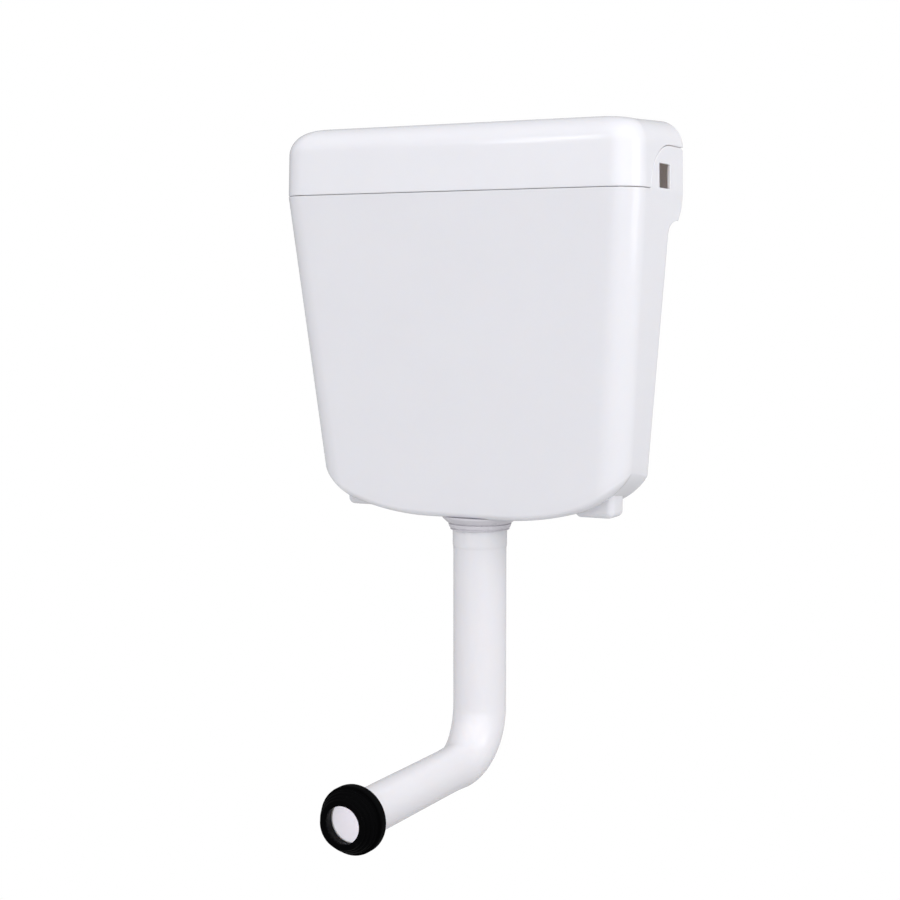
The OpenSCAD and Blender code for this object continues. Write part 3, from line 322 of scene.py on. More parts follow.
def side_stations():
    """Depth, height and outward direction along the top of one side, in the plane of the side.

    The rim runs level from the front corner, up a small fillet, along a quarter of an ellipse,
    level again and down a chamfer to the back plate.
    """
    level = np.linspace(SIDE_START, -EAR_D - EAR_FILLET, 7)[1:-1]
    turn = quarter(6, -90, 0)
    fillet_y = -EAR_D - EAR_FILLET + EAR_FILLET * np.cos(turn)
    fillet_z = EAR_FILLET + EAR_FILLET * np.sin(turn)
    start = math.asin(EAR_FILLET / EAR_H)
    sweep = np.linspace(start, math.pi / 2, 30)[1:]
    curve_y = -EAR_D + EAR_CURVE - EAR_CURVE * np.cos(sweep)
    curve_z = EAR_H * np.sin(sweep)
    curve_u = np.stack([-np.cos(sweep) / EAR_CURVE, np.sin(sweep) / EAR_H], 1)
    flat = np.linspace(-EAR_D + EAR_CURVE, -EAR_CHAMFER, 13)[1:]
    slope = np.linspace(0, 1, 5)[1:-1]
    slope_y = -EAR_CHAMFER + EAR_CHAMFER * slope
    slope_z = EAR_H - EAR_CHAMFER / 2 * slope
    parts = [
        (level, 0 * level, (0.0, 1.0)),
        (fillet_y, fillet_z, np.stack([-np.cos(turn), -np.sin(turn)], 1)),
        (curve_y, curve_z, curve_u / np.linalg.norm(curve_u, axis=1, keepdims=True)),
        (flat, EAR_H + 0 * flat, (0.0, 1.0)),
        (slope_y, slope_z, EAR_CHAMFER_UP),
    ]
    y, z = (np.concatenate([part[k] for part in parts]) for k in (0, 1))
    u = np.concatenate([np.broadcast_to(out, (len(along), 2)) for along, up, out in parts])
    keep = y < SIDE_END - EAR_END_CLEAR
    return y[keep], z[keep], u[keep]


def half_stations():
    """Zone, share of the zone, rim height and rim direction for each column of half a shell."""
    side_y, side_z, side_u = side_stations()
    line = np.linspace(0, 1, 29)
    corner = np.linspace(0, 1, 17)
    back_top = EAR_H - EAR_CHAMFER / 2
    shares = [line, corner[1:], (side_y - SIDE_START) / (SIDE_END - SIDE_START), corner[::3], 1 - line[1:]]
    zone = np.concatenate([np.full(len(part), number) for number, part in enumerate(shares)])
    share = np.concatenate(shares)
    front_count, back_count = len(line) + len(corner) - 1, len(corner[::3]) + len(line) - 1
    rim = np.concatenate([np.zeros(front_count), side_z, np.full(back_count, back_top)])
    up = np.concatenate([
        np.tile([0.0, 1.0], (front_count, 1)), side_u, np.tile([0.0, 1.0], (back_count, 1)),
    ])
    return zone, share, rim, up


ZONE, SHARE, RIM, UP = half_stations()
TURN = SHARE * math.pi / 2


def by_zone(front, front_corner, side, back_corner, back):
    """Picks each column's value by its zone."""
    values = np.broadcast_arrays(front, front_corner, side, back_corner, back, ZONE)[:5]
    zone = np.broadcast_to(ZONE, values[0].shape)
    return np.choose(zone, values)


def around(front, side_front, side_back, back):
    """A value that runs from the front line's to the back line's round the outline."""
    return by_zone(
        front,
        front + (side_front - front) * SHARE,
        side_front + (side_back - side_front) * SHARE,
        side_back + (back - side_back) * SHARE,
        back,
    )


def outline(half, front, back, front_corner, back_corner):
    """A rounded rectangle's point at each station: straight lines joined by quarter circles."""
    x = by_zone(
        (half - front_corner) * SHARE,
        half - front_corner + front_corner * np.sin(TURN),
        half,
        half - back_corner + back_corner * np.cos(TURN),
        (half - back_corner) * SHARE,
    )
    y = by_zone(
        front,
        front + front_corner - front_corner * np.cos(TURN),
        front + front_corner + (back - back_corner - front - front_corner) * SHARE,
        back - back_corner + back_corner * np.sin(TURN),
        back,
    )
    return x, y


OUTWARD = np.stack([
    by_zone(0.0 * TURN, np.sin(TURN), 0 * TURN + 1, np.cos(TURN), 0 * TURN),
    by_zone(0.0 * TURN - 1, -np.cos(TURN), 0 * TURN, np.sin(TURN), 0 * TURN + 1),
    0 * TURN,
], 1)
UPWARD = np.stack([0 * TURN, UP[:, 0], UP[:, 1]], 1)


def rim_rows(edge, wall, side):
    """A wall's edge rounded on both faces: two quarter circles and the flat between them.

    edge is the sharp outer corner, and side is 1 where the wall hangs below it, -1 where it stands
    above it.
    """
    angle = quarter(5)[:, None, None]
    up = side * UPWARD
    outer = edge - RIM_ROUND * up + RIM_ROUND * (np.sin(angle) * up - (1 - np.cos(angle)) * OUTWARD)
    inner = edge - wall * OUTWARD - RIM_ROUND * up
    inner = inner + RIM_ROUND * (np.sin(angle) * up + (1 - np.cos(angle)) * OUTWARD)
    return outer, inner[::-1]


def whole(points):
    """Both halves of a shell from the right one: the left half's columns run back, mirrored in x."""
    return np.concatenate([points, points[:, -2:0:-1] * (-1, 1, 1)], axis=1)


def tank_back_y(z, inset):
    """The back's profile: flat flange, quarter sine curve in, then a straight wall that leans back."""
    z = z - inset
    depth = np.clip((-FLANGE_DROP - z) / SHELF_H, 0, 1)
    shelf_end = -FLANGE_DROP - SHELF_H
    lean = BACK_LEAN * np.clip(shelf_end - z, 0, None) / (BODY_H + shelf_end)
    return -WALL_GAP * np.sin(math.pi / 2 * np.sqrt(depth)) + lean


def tank_bottom_z(x):
    """The bottom edge seen from the front: level in the middle, then a parabola up to the sides."""
    return -BODY_H + BOW_RISE * (np.clip(np.abs(x) - BOW_FLAT, 0, None) / (BOTTOM_HALF_W - BOW_FLAT)) ** 2


def front_radius(inset):
    """Radius of the front's bottom rounding: it grows to the corners by a power of the way there."""
    share = np.where(ZONE == 0, SHARE ** FRONT_ROUND_POWER, 1.0)
    return FRONT_ROUND[0] + (FRONT_ROUND[1] - FRONT_ROUND[0]) * share - inset * ROUND_SHARE


def bottom_turn(angle, inset):
    """The bottom's rounding at an angle: how far it has drawn in, and how high it stands, as shares.

    Both are one less a sine or cosine to a power, which is 1 on the front, for a circle, and more on
    the sides, for a flatter curve.
    """
    angle = angle[:, None]
    power = around(1.0, SIDE_ROUND_POWER, SIDE_ROUND_POWER, SIDE_ROUND_POWER)
    side, back = (radius - inset * ROUND_SHARE for radius in SIDE_ROUND)
    radius = around(front_radius(inset), side, back, back)
    cosine = np.clip(np.cos(angle), 0, 1)
    return 1 - cosine ** power, radius * (1 - np.sin(angle) ** power), radius


def tank_wall(z, inset, turn=0.0):
    """The tank's outline at a height for each column, drawn in by the bottom's rounding."""
    side = around(SIDE_ROUND[0], SIDE_ROUND[0], SIDE_ROUND[1], SIDE_ROUND[1]) - inset * ROUND_SHARE
    slope = np.where(z > 0, -LID_SLOPE, SIDE_SLOPE)
    half = HALF_W + z * slope - inset - side * turn
    front = -BODY_D - np.minimum(z, 0) * FRONT_SLOPE + inset + front_radius(inset) * turn
    back = tank_back_y(z, inset) - inset - (BACK_ROUND - inset * ROUND_SHARE) * turn
    step = np.clip((-FLANGE_DROP / 2 - z) / (FLANGE_DROP / 2), 0, 1)
    narrow = 1 - CORNER_NARROWS * turn
    low_corner = (BACK_CORNER - inset) * narrow
    back_corner = BACK_CORNER_TOP + (low_corner - BACK_CORNER_TOP) * step
    x, y = outline(half, front, back, (FRONT_CORNER - inset) * narrow, back_corner)
    return np.stack(np.broadcast_arrays(x, y, z), -1)


def tank_skin(inset):
    """Rows of the outer or inner face, from the rim down to the ring where the bottom is level.

    The rim's shape dies out by even steps down to a knee. Below it the rows are level: down the
    flange, along the shelf's quarter sine curve, down the side, and round the bottom's rounding.
    """
    columns = len(ZONE)
    rim_z = RIM - RIM_ROUND * UP[:, 1]
    knee = np.minimum(0, KNEE_Z + KNEE_KEEP * (rim_z - KNEE_Z))
    share = np.linspace(0, 1, 16)[:, None]
    upper = tank_wall(rim_z + (knee - rim_z) * share, inset)
    upper[..., 1] -= RIM_ROUND * UP[:, 0] * (1 - share) * (ZONE == 2)
    share = np.linspace(0, 1, 5)[1:, None]
    neck = tank_wall(knee + (KNEE_Z - knee) * share, inset)
    heights = np.concatenate([
        FLANGE_ROWS,
        -FLANGE_DROP - SHELF_H * np.linspace(0, 1, 15) ** 2 + inset,
    ])[:, None]
    heights = np.minimum.accumulate(heights, axis=0)
    shelf = tank_wall(np.broadcast_to(heights, (len(heights), columns)), inset)
    low = -FLANGE_DROP - SHELF_H - WALL
    turn, rise, radius = bottom_turn(quarter(15)[1:], inset)
    x0 = outline(BOTTOM_HALF_W, -BODY_D, 0.0, FRONT_CORNER, BACK_CORNER)[0]
    base = tank_bottom_z(x0) + inset
    share = np.linspace(0, 1, 27)[:, None]
    side = tank_wall(low + (base + radius - low) * share, inset)
    bottom = tank_wall(base + rise, inset, turn)
    return np.concatenate([upper, neck, shelf, side, bottom])


def onto_circle(plan, radius):
    """The points of a circle round the outlet's axis that lie at the angles of other points."""
    away = plan - (0, OUTLET_Y)
    return radius * away / np.linalg.norm(away, axis=1, keepdims=True) + (0, OUTLET_Y)


def inward_rows(start, radius, count):
    """Plan rows from a ring to a circle round the outlet's axis, by equal shares of the way."""
    share = np.linspace(0, 1, count)[1:, None, None]
    return share[..., 0], start[:, :2] * (1 - share) + onto_circle(start[:, :2], radius) * share


def floor_rows(ring, lift):
    """The bottom between its level ring and the outlet: straight in plan, a parabola in height.

    The parabola ends where the bow's flat middle begins, or after BOW_LEAST of the way.
    """
    share, plan = inward_rows(ring, HOLE_R, 12)
    x, inner = np.abs(ring[:, 0]), np.abs(plan[-1, :, 0])
    reach = np.clip((x - BOW_FLAT) / np.maximum(x - inner, 1), BOW_LEAST, 1)
    fall = np.clip(1 - share / reach, 0, 1) ** 2
    level = -BODY_H + lift
    z = level + (ring[:, 2] - level) * fall
    return np.concatenate([plan, z[..., None]], -1)


def tank_shell():
    """The tank as one closed wall: outer face, bottom, outlet hole, inner face and rounded rim."""
    outer, inner = tank_skin(0.0), tank_skin(WALL)
    edge = tank_wall(RIM, 0.0)
    rim_outer, rim_inner = rim_rows(edge, WALL, 1)
    low, high = floor_rows(outer[-1], 0.0), floor_rows(inner[-1], WALL)
    rows = [rim_outer[::-1], outer[1:], low, high[::-1], inner[::-1][:-1], rim_inner[::-1]]
    shell = surface("tank_shell", whole(np.concatenate(rows)), wrap_rows=True)
    cutters = [opening_cutter(side) for side in (1, -1)] + [slot_cutter(side) for side in (1, -1)]
    cut(shell, cutters)
    return shell


def loop_at(half_u, half_v, corner, height):
    """A rounded rectangle as one loop at a height: four quarter circles, joined by straight lines."""
    angle = np.arange(4)[:, None] * (math.pi / 2) + quarter(RING_STEPS)
    sign_u = np.array([1, -1, -1, 1])[:, None]
    sign_v = np.array([1, 1, -1, -1])[:, None]
    u = sign_u * (half_u - corner) + corner * np.cos(angle)
    v = sign_v * (half_v - corner) + corner * np.sin(angle)
    return np.stack([u.ravel(), v.ravel(), np.full(u.size, height)], 1)


def lower_end(half_u, half_v, low, radius, count):
    """Loops of a bar's lower end: rounded rectangles, drawn in by a quarter circle to the bottom."""
    angle = quarter(count, 90, 0)
    inset, rise = radius * (1 - np.cos(angle)), radius * (1 - np.sin(angle))
    return [loop_at(half_u - i, half_v - i, radius - i + TINY, low + z) for i, z in zip(inset, rise)]


def capped(loops):
    """Loops as rows of a surface, with a pole on the axis before the first and after the last."""
    axis = (0, 0, 1)
    return np.stack([loops[0] * axis] + loops + [loops[-1] * axis])


def flared(half_u, half_v, corner, flare):
    """A cutter's rows (u, v, w): a rounded rectangle that widens by a quarter circle at both faces."""
    angle = quarter(5)
    grow = flare * (1 - np.cos(angle))
    depth = flare * np.sin(angle)
    w = np.concatenate([[-WALL - CUT_PAST], -WALL + flare - depth[::-1], -flare + depth, [CUT_PAST]])
    grow = np.concatenate([[flare], grow[::-1], grow, [flare]])
    return capped([loop_at(half_u + g, half_v + g, corner + g, d) for g, d in zip(grow, w)])


def opening_cutter(side):
    """The side opening's cutter: its rows stand on the side's plane, which leans as the ear does."""
    width, height, y, z = OPENING
    rows = flared(width / 2, height / 2, OPENING_CORNER, OPENING_FLARE)
    z = z + rows[..., 1]
    x = side * (HALF_W + rows[..., 2] - z * LID_SLOPE)
    return surface("opening_cutter", np.stack([x, y + rows[..., 0], z], -1))


def slot_cutter(side):
    """The wall slot's cutter: its rows stand on the wall's plane."""
    length, height, x, z = SLOT
    rows = flared(length / 2, height / 2, height / 2 - TINY, SLOT_FLARE)
    return surface("slot_cutter", np.stack([side * x + rows[..., 0], rows[..., 2], z + rows[..., 1]], -1))


def foot(side, outer):
    """A foot under the tank: a bar's lower end, and a top inside the tank's floor.

    Each point of the top takes the height of the tank's nearest outer point, and FOOT_SINK more.
    """
    loops = lower_end(*FOOT_HALF, FOOT_Z, FOOT_ROUND, 8) + [loop_at(*FOOT_HALF, FOOT_ROUND, 0.0)]
    points = capped(loops) + FOOT_AT
    near = outer[LOW_ROW:].reshape(-1, 3)
    for row in (-2, -1):
        gap = np.linalg.norm(points[row][:, None, :2] - near[None, :, :2], axis=2)
        points[row][:, 2] = near[gap.argmin(1), 2] + FOOT_SINK
    points[-1] = points[-1].mean(0)
    return surface("tank_foot_" + ("right" if side > 0 else "left"), points * (side, 1, 1))


def lid_section(inset):
    """Height of the lid's rounding and of its start, below a top line that climbs to the wall."""
    front, side = LID_FRONT_ROUND[1], LID_SIDE_ROUND[1]
    up = around(front, side, side, side) - inset * ROUND_SHARE
    return up, around(LID_EDGE_H, LID_EDGE_H - LID_CORNER_FALL, LID_H, LID_H) - inset - up


def lid_way(z, inset):
    """How far up the section a height lies: a length on the skirt, and an arc on the rounding."""
    up, base = lid_section(inset)
    return np.where(z < base, z - base, up * np.arcsin(np.clip((z - base) / up, 0, 1)))


def lid_wall(way, inset):
    """The lid's section for each column: the way runs up the skirt, then along the rounding's arc."""
    up, base = lid_section(inset)
    angle = np.clip(way / up, 0, math.pi / 2)
    z = np.where(way < 0, base + way, base + up * np.sin(angle))
    turn = 1 - np.cos(angle)
    lean = np.minimum(z, LID_EDGE_H) * LID_SLOPE
    front_in, side_in, back_in = (
        reach - inset * ROUND_SHARE for reach in (LID_FRONT_ROUND[0], LID_SIDE_ROUND[0], LID_BACK_IN)
    )
    half = HALF_W - lean - inset - side_in * turn
    front = -BODY_D + lean + inset + front_in * turn
    back = LID_BACK_Y - inset - back_in * turn
    corner = (FRONT_CORNER - inset) * (1 - LID_CORNER_NARROWS * turn)
    x, y = outline(half, front, back, corner, BACK_CORNER_TOP + turn)
    return np.stack(np.broadcast_arrays(x, y, z), -1)


def lid_skin(edge_z, edge_y, inset):
    """Rows of the lid's outer or inner face, from its edge up to the end of the rounding."""
    start = lid_way(edge_z, inset)
    share = np.linspace(0, 1, 37)[:, None]
    rows = lid_wall(start + (lid_section(inset)[0] * math.pi / 2 - start) * share, inset)
    shift = np.where(ZONE == 2, edge_y - rows[0, :, 1], 0.0)
    rows[..., 1] += shift * (1 - share) ** 2
    return rows


def crown_rows(start, circle_r, inset):
    """The top from the rounding's end to a circle round the button: straight in plan, domed in height.

    The height eases to the middle's by a smooth step of the distance inward from the edge, which is
    measured on a squared-off ellipse of the sixth power. On the way in, the edge's own height gives
    way to its mean over a window of columns, so that the corners' heights leave no ridge.
    """
    share, plan = inward_rows(start, circle_r, 19)
    x = np.abs(plan[..., 0]) / start[:, 0].max()
    away_y = plan[..., 1] - LID_MID_Y
    y = away_y / np.where(away_y > 0, start[:, 1].max() - LID_MID_Y, start[:, 1].min() - LID_MID_Y)
    inward = (1 - (x ** CROWN_POWER + y ** CROWN_POWER) ** (1 / CROWN_POWER)) / CROWN_EASE
    middle = LID_H - inset - (LID_BITE if inset else 0)
    padded = np.pad(start[:, 2], CROWN_WINDOW, mode="reflect")
    mean = np.convolve(padded, np.full(2 * CROWN_WINDOW + 1, 1 / (2 * CROWN_WINDOW + 1)), "valid")
    edge = start[:, 2] + (mean - start[:, 2]) * eased(2 * share)
    z = edge + (middle - edge) * eased(inward)
    return np.concatenate([plan, z[..., None]], -1)


def circle_rows(start, sizes):
    """Rings round the button's axis, at the angles of the columns, from (radius, height) pairs."""
    return np.stack([
        np.column_stack([onto_circle(start[:, :2], radius), np.full(len(start), height)])
        for radius, height in sizes
    ])


def lid_shell():
    """The lid as one closed wall: edge, outer face, domed top, button seat and inner face."""
    by_wall = (ZONE > 2) | ((ZONE == 2) & (SHARE > LID_BY_WALL))
    edge_z = np.where(by_wall, EAR_H + LID_GAP, RIM + LID_GAP * UP[:, 1])
    edge = lid_wall(lid_way(edge_z, 0.0), 0.0)
    tank_y = tank_wall(RIM, 0.0)[:, 1]
    edge[:, 1] = np.where(ZONE == 2, tank_y + LID_GAP * UP[:, 0], edge[:, 1])
    rim_outer, rim_inner = rim_rows(edge, LID_WALL, -1)
    outer = lid_skin(rim_outer[0, :, 2], rim_outer[0, :, 1], 0.0)
    inner = lid_skin(rim_inner[-1, :, 2], rim_inner[-1, :, 1], LID_WALL)
    top = crown_rows(outer[-1], SEAT_R + SEAT_ROUND, 0.0)
    turn = quarter(5)[1:]
    under = crown_rows(inner[-1], BOSS_R, LID_WALL)
    seat_edge = circle_rows(top[-1], [(SEAT_R + SEAT_ROUND * (1 - math.sin(a)), 0) for a in turn])
    seat_edge[..., 2] = top[-1, :, 2] - SEAT_ROUND * (1 - np.cos(turn))[:, None]
    seat = circle_rows(top[-1], [
        (SEAT_R, SEAT_Z), (BEZEL_HOLE_R + SEAT_BREAK, SEAT_Z), (BEZEL_HOLE_R, SEAT_Z - SEAT_BREAK),
        (BEZEL_HOLE_R, BOSS_Z + SEAT_BREAK), (BEZEL_HOLE_R + SEAT_BREAK, BOSS_Z),
        (BOSS_R - SEAT_ROUND, BOSS_Z), (BOSS_R, BOSS_Z + SEAT_ROUND),
    ])
    rows = [rim_outer[::-1], outer[1:], top, seat_edge, seat, under[::-1], inner[::-1][:-1], rim_inner[::-1]]
    return surface("lid_shell", whole(np.concatenate(rows)), wrap_rows=True)


def block(name, low, high):
    """A bar between two opposite corners: a lower end, and its mirror image at the top."""
    low, high = np.array(low, float), np.array(high, float)
    middle, half = (low + high) / 2, (high - low) / 2
    loops = lower_end(half[0], half[1], -half[2], BAR_ROUND, 5)
    loops += [loop * (1, 1, -1) for loop in loops[::-1]]
    return surface(name, capped(loops) + middle)


def lid_lips():
    """Bars inside the lid's edge: lips that stand in the tank, webs that carry them, and two clips.

    A lip stands LIP_GAP inside the tank's inner face, which draws in with depth by the wall's slope.
    """
    front = -BODY_D + LIP_DROP * FRONT_SLOPE + WALL + LIP_GAP
    side = HALF_W - LIP_DROP * SIDE_SLOPE - WALL - LIP_GAP
    clip = -BODY_D + CLIP_DROP * FRONT_SLOPE + WALL + LIP_GAP
    bars = [
        ("lid_lip_front", (-LIP_HALF, front, -LIP_DROP), (LIP_HALF, front + LIP_T, LIP_TOP)),
        ("lid_web_front", (-LIP_HALF, -BODY_D + WEB_IN, LID_GAP), (LIP_HALF, front + LIP_T, LIP_TOP)),
    ]
    for sign, hand in ((1, "right"), (-1, "left")):
        for kind, low, reach in (("lip", -LIP_DROP, side), ("web", LID_GAP, HALF_W - WEB_IN)):
            near, far = sorted((sign * (side - LIP_T), sign * reach))
            bars.append((f"lid_{kind}_{hand}", (near, SIDE_LIP_Y[0], low), (far, SIDE_LIP_Y[1], LIP_TOP)))
    for sign, hand in ((1, "right"), (-1, "left")):
        near, far = sorted(sign * x for x in CLIP_X)
        bars.append((f"lid_clip_{hand}", (near, clip, -CLIP_DROP), (far, clip + LIP_T, CLIP_TOP)))
    return [block(*bar) for bar in bars]


def rounded(profile, reach):
    """A profile with each corner replaced by a parabola between two near points on its sides.

    The reach is how far each point lies from the corner, at most MOST_OF_SIDE of the side.
    """
    profile = np.array(profile, float)
    before = np.roll(profile, 1, axis=0) - profile
    after = np.roll(profile, -1, axis=0) - profile
    reach = np.broadcast_to(reach, len(profile))
    lengths = [np.linalg.norm(side, axis=1) for side in (before, after)]
    reach = np.minimum(reach, MOST_OF_SIDE * np.minimum(*lengths))[:, None]
    start = profile + before / lengths[0][:, None] * reach
    end = profile + after / lengths[1][:, None] * reach
    t = np.linspace(0, 1, 5)[None, :, None]
    points = (1 - t) ** 2 * start[:, None] + 2 * t * (1 - t) * profile[:, None] + t ** 2 * end[:, None]
    return points.reshape(-1, 2)


def turned(name, profile, centre, level=False, wrap=True):
    """A profile of (radius, height) pairs carried round an upright or a level axis through a point.

    The point at an angle lies its radius times the cosine and the sine away from the axis. Height
    runs up an upright axis, and out from the wall along a level one.
    """
    angle = np.linspace(0, 2 * math.pi, TURN_STEPS, endpoint=False)
    height = np.broadcast_to(profile[:, 1:], (len(profile), TURN_STEPS))
    u, v = profile[:, :1] * np.cos(angle), profile[:, :1] * np.sin(angle)
    points = np.stack([u, -height, v] if level else [u, v, height], -1)
    return surface(name, points + np.array(centre), wrap_rows=wrap)


def bezel():
    """The button's bezel, a profile turned round its axis: flat rim, neck through the lid, and well."""
    floor_z = WELL_Z + WELL_FLOOR
    rod_hole, bore = ROD_R + BUTTON_AIR, BUTTON_R + BUTTON_AIR
    profile = [
        (rod_hole, WELL_Z), (NECK_R, WELL_Z), (NECK_R, SEAT_Z), (BEZEL_R, SEAT_Z), (BEZEL_R, RIM_Z),
        (bore, RIM_Z), (bore, floor_z), (rod_hole, floor_z),
    ]
    reach = [0.3, 0.6, 0.2, 0.3, 1.2, 0.8, 1.5, 0.3]
    return turned("button_bezel_ring", rounded(profile, reach), BUTTON_AT)


def button():
    """The push button, a profile turned round its axis: dished cap, skirt, and a hub for the rod.

    The dish is a parabola: it lies DISH below the rim in the middle.
    """
    radius = np.linspace(0, DISH_R, 12)
    dish = np.column_stack([radius, RIM_Z - DISH * (1 - (radius / DISH_R) ** 2)])
    foot_z, under_z = RIM_Z - BUTTON_H, RIM_Z - BUTTON_WALL
    inner, bore = BUTTON_R - BUTTON_WALL, ROD_R + ROD_FIT
    profile = [
        (BUTTON_R - 3, RIM_Z), (BUTTON_R, RIM_Z), (BUTTON_R, foot_z), (inner, foot_z), (inner, under_z),
        (HUB_R, under_z), (HUB_R, foot_z), (bore, foot_z), (bore, SPRING_HIGH),
    ]
    edge = rounded(profile, [0.1, BUTTON_ROUND, 0.5, 0.5, 1.0, 1.0, 0.5, 0.2, 0.1])
    pole = np.array([[0.0, SPRING_HIGH]])
    return turned("flush_button_cap", np.concatenate([dish, edge, pole]), BUTTON_AT, wrap=False)


def outlet_nut():
    """The outlet's nut, a profile turned round the outlet.

    It runs out over the flared skirt, down past two narrow grooves and a bead, and up inside, where
    the pipe's end sits. The lists are pairs of radius and height above the nut's foot.
    """
    groove, band = [(28.5, 6.8), (28.3, 5.8)], [(29.8, 5.5), (28.7, 2.2)]
    low_groove, bead = [(26.9, 2.0), (26.8, 0.9)], [(28.0, 0.7), (27.8, 0.0), (25.8, 0.0)]
    step = [(25.8, 2.4), (26.9, 2.4)]
    below = [(30.9, 6.9)] + groove + band + low_groove + bead + step
    profile = [(NUT_BORE_R, NUT_TOP), (NUT_R, NUT_TOP), (NUT_R - 0.8, NUT_TOP - 2.0)]
    profile += [(radius, NUT_FOOT + height) for radius, height in below]
    profile += [(26.9, SOCKET_TOP + 0.2), (NUT_BORE_R, SOCKET_TOP + 0.2)]
    reach = [0.3, 0.5, 0.8] + [0.25] * 9 + [0.2] * 5
    return turned("outlet_nut_body", rounded(profile, reach), BUTTON_AT)


def flush_bend():
    """The flush pipe as one closed wall, swept down, round the bend and out to its open end.

    The centre line is a straight, a quarter circle and a straight. The radius eases from the
    upright leg's to the level leg's over the bend and the start of the level leg.
    """
    bend_top = LEVEL_Z + BEND_R
    leg = np.linspace(SOCKET_TOP - LEG_START, bend_top, 18)
    drop = np.concatenate([SOCKET_TOP - np.array(SOCKET_ROWS), leg])
    turn = quarter(33)[1:]
    run = np.linspace(OUTLET_Y - BEND_R, OUTLET_Y - LEVEL_LENGTH, 40)[1:]
    y = np.concatenate([0 * drop + OUTLET_Y, OUTLET_Y - BEND_R + BEND_R * np.cos(turn), run])
    z = np.concatenate([drop, bend_top - BEND_R * np.sin(turn), 0 * run + LEVEL_Z])
    tilt = np.concatenate([0 * drop, turn, 0 * run + math.pi / 2])
    travelled = np.concatenate([[0], np.cumsum(np.hypot(np.diff(y), np.diff(z)))])
    start = SOCKET_TOP - bend_top + TAPER_LATE
    taper = eased((travelled - start) / (BEND_R * math.pi / 2 + TAPER_MORE))
    radius = PIPE_R - (PIPE_R - PIPE_LOW_R) * taper
    below = np.where(tilt == 0, SOCKET_TOP - z, np.inf)
    socket = SOCKET_SWELL * (1 - eased((below - SOCKET_H) / SOCKET_EASE))
    collar = COLLAR_SWELL * (1 - np.clip((below - COLLAR_H) / COLLAR_EASE, 0, 1))
    outer = radius + socket + collar
    inner = radius - PIPE_WALL + socket
    angle = np.linspace(0, 2 * math.pi, 96, endpoint=False)
    side_y, side_z = np.cos(tilt)[:, None], -np.sin(tilt)[:, None]

    def rings(size):
        """A circle of its size at each point of the centre line, square to it."""
        u, v = size[:, None] * np.cos(angle), size[:, None] * np.sin(angle)
        return np.stack([u, y[:, None] + v * side_y, z[:, None] + v * side_z], -1)

    thinner, further = PIPE_LIP
    lip = [rings(size)[-1:] - (0, further, 0) for size in (outer - thinner, inner + thinner)]
    rows = np.concatenate([rings(outer)] + lip + [rings(inner)[::-1]])
    return surface("flush_bend_pipe", rows, wrap_rows=True)


def line_inside(piece, nearest, finish):
    """Gives the inner faces of a wall a second finish.

    A face is an inner one where its normal points from its centre towards the nearest point of what
    the wall goes round. The function nearest gives these points for all centres at once.
    """
    mesh = piece.data
    mesh.materials.append(finish)
    centre, normal = read(mesh.polygons, "center"), read(mesh.polygons, "normal")
    inward = np.einsum("ij,ij->i", normal, nearest(centre) - centre) > 0
    mesh.polygons.foreach_set("material_index", inward.astype(np.int32))


def bend_line(points):
    """The nearest points of the pipe's centre line: upright leg, quarter circle or level leg."""
    bend = np.array([0, OUTLET_Y - BEND_R, LEVEL_Z + BEND_R]) * MM + (0, 0, SEAM_Z)
    away = points - bend
    turn = np.arctan2(np.clip(-away[:, 2], 0, None), np.clip(away[:, 1], 0, None))
    line = bend + BEND_R * MM * np.column_stack([0 * turn, np.cos(turn), -np.sin(turn)])
    upright, level = away[:, 2] > 0, away[:, 1] < 0
    line[upright, 2] = points[upright, 2]
    line[level, 1] = points[level, 1]
    return line


def core(low, high):
    """A function that gives the nearest points of a box."""
    low, high = (np.array(corner) * MM + (0, 0, SEAM_Z) for corner in (low, high))
    return lambda points: np.clip(points, low, high)


def pan_connector():
    """The rubber connector, a profile turned round the level pipe: flange, land, fins and mouth.

    The fins are equal steps in depth that shrink by equal steps in radius, each a short flat and a
    long slope. Inside, the grip round the pipe narrows to the mouth.
    """
    pitch = (TIP_END - LAND_END) / FINS
    step = (TIP_R - LAND_R) / FINS
    fins = [
        point
        for k in range(FINS)
        for point in (
            (LAND_R + step * k - 1.5, LAND_END + pitch * (k + 0.3)),
            (LAND_R + step * k - 0.9, LAND_END + pitch * (k + 0.5)),
            (LAND_R + step * (k + 1) + 0.4, LAND_END + pitch * (k + 1)),
        )
    ]
    head = [(GRIP_R, 0), (FLANGE_R, 0), (FLANGE_R, FLANGE_END), (LAND_R, FLANGE_END), (LAND_R, LAND_END)]
    mouth = [(19.9, TIP_END), (MOUTH_R, TIP_END), (MOUTH_R, TIP_END - 3), (GRIP_R - 1, 8.0), (GRIP_R, 7.1)]
    reach = [0.3, 1.6, 1.6, 0.5, 0.6] + [0.5, 0.5, 0.7] * FINS + [0.6, 1.0, 0.8, 0.4, 0.3]
    profile = rounded(head + fins + mouth, reach)
    return turned("pan_connector_rubber", profile, (0, CONNECTOR_Y, LEVEL_Z), level=True)


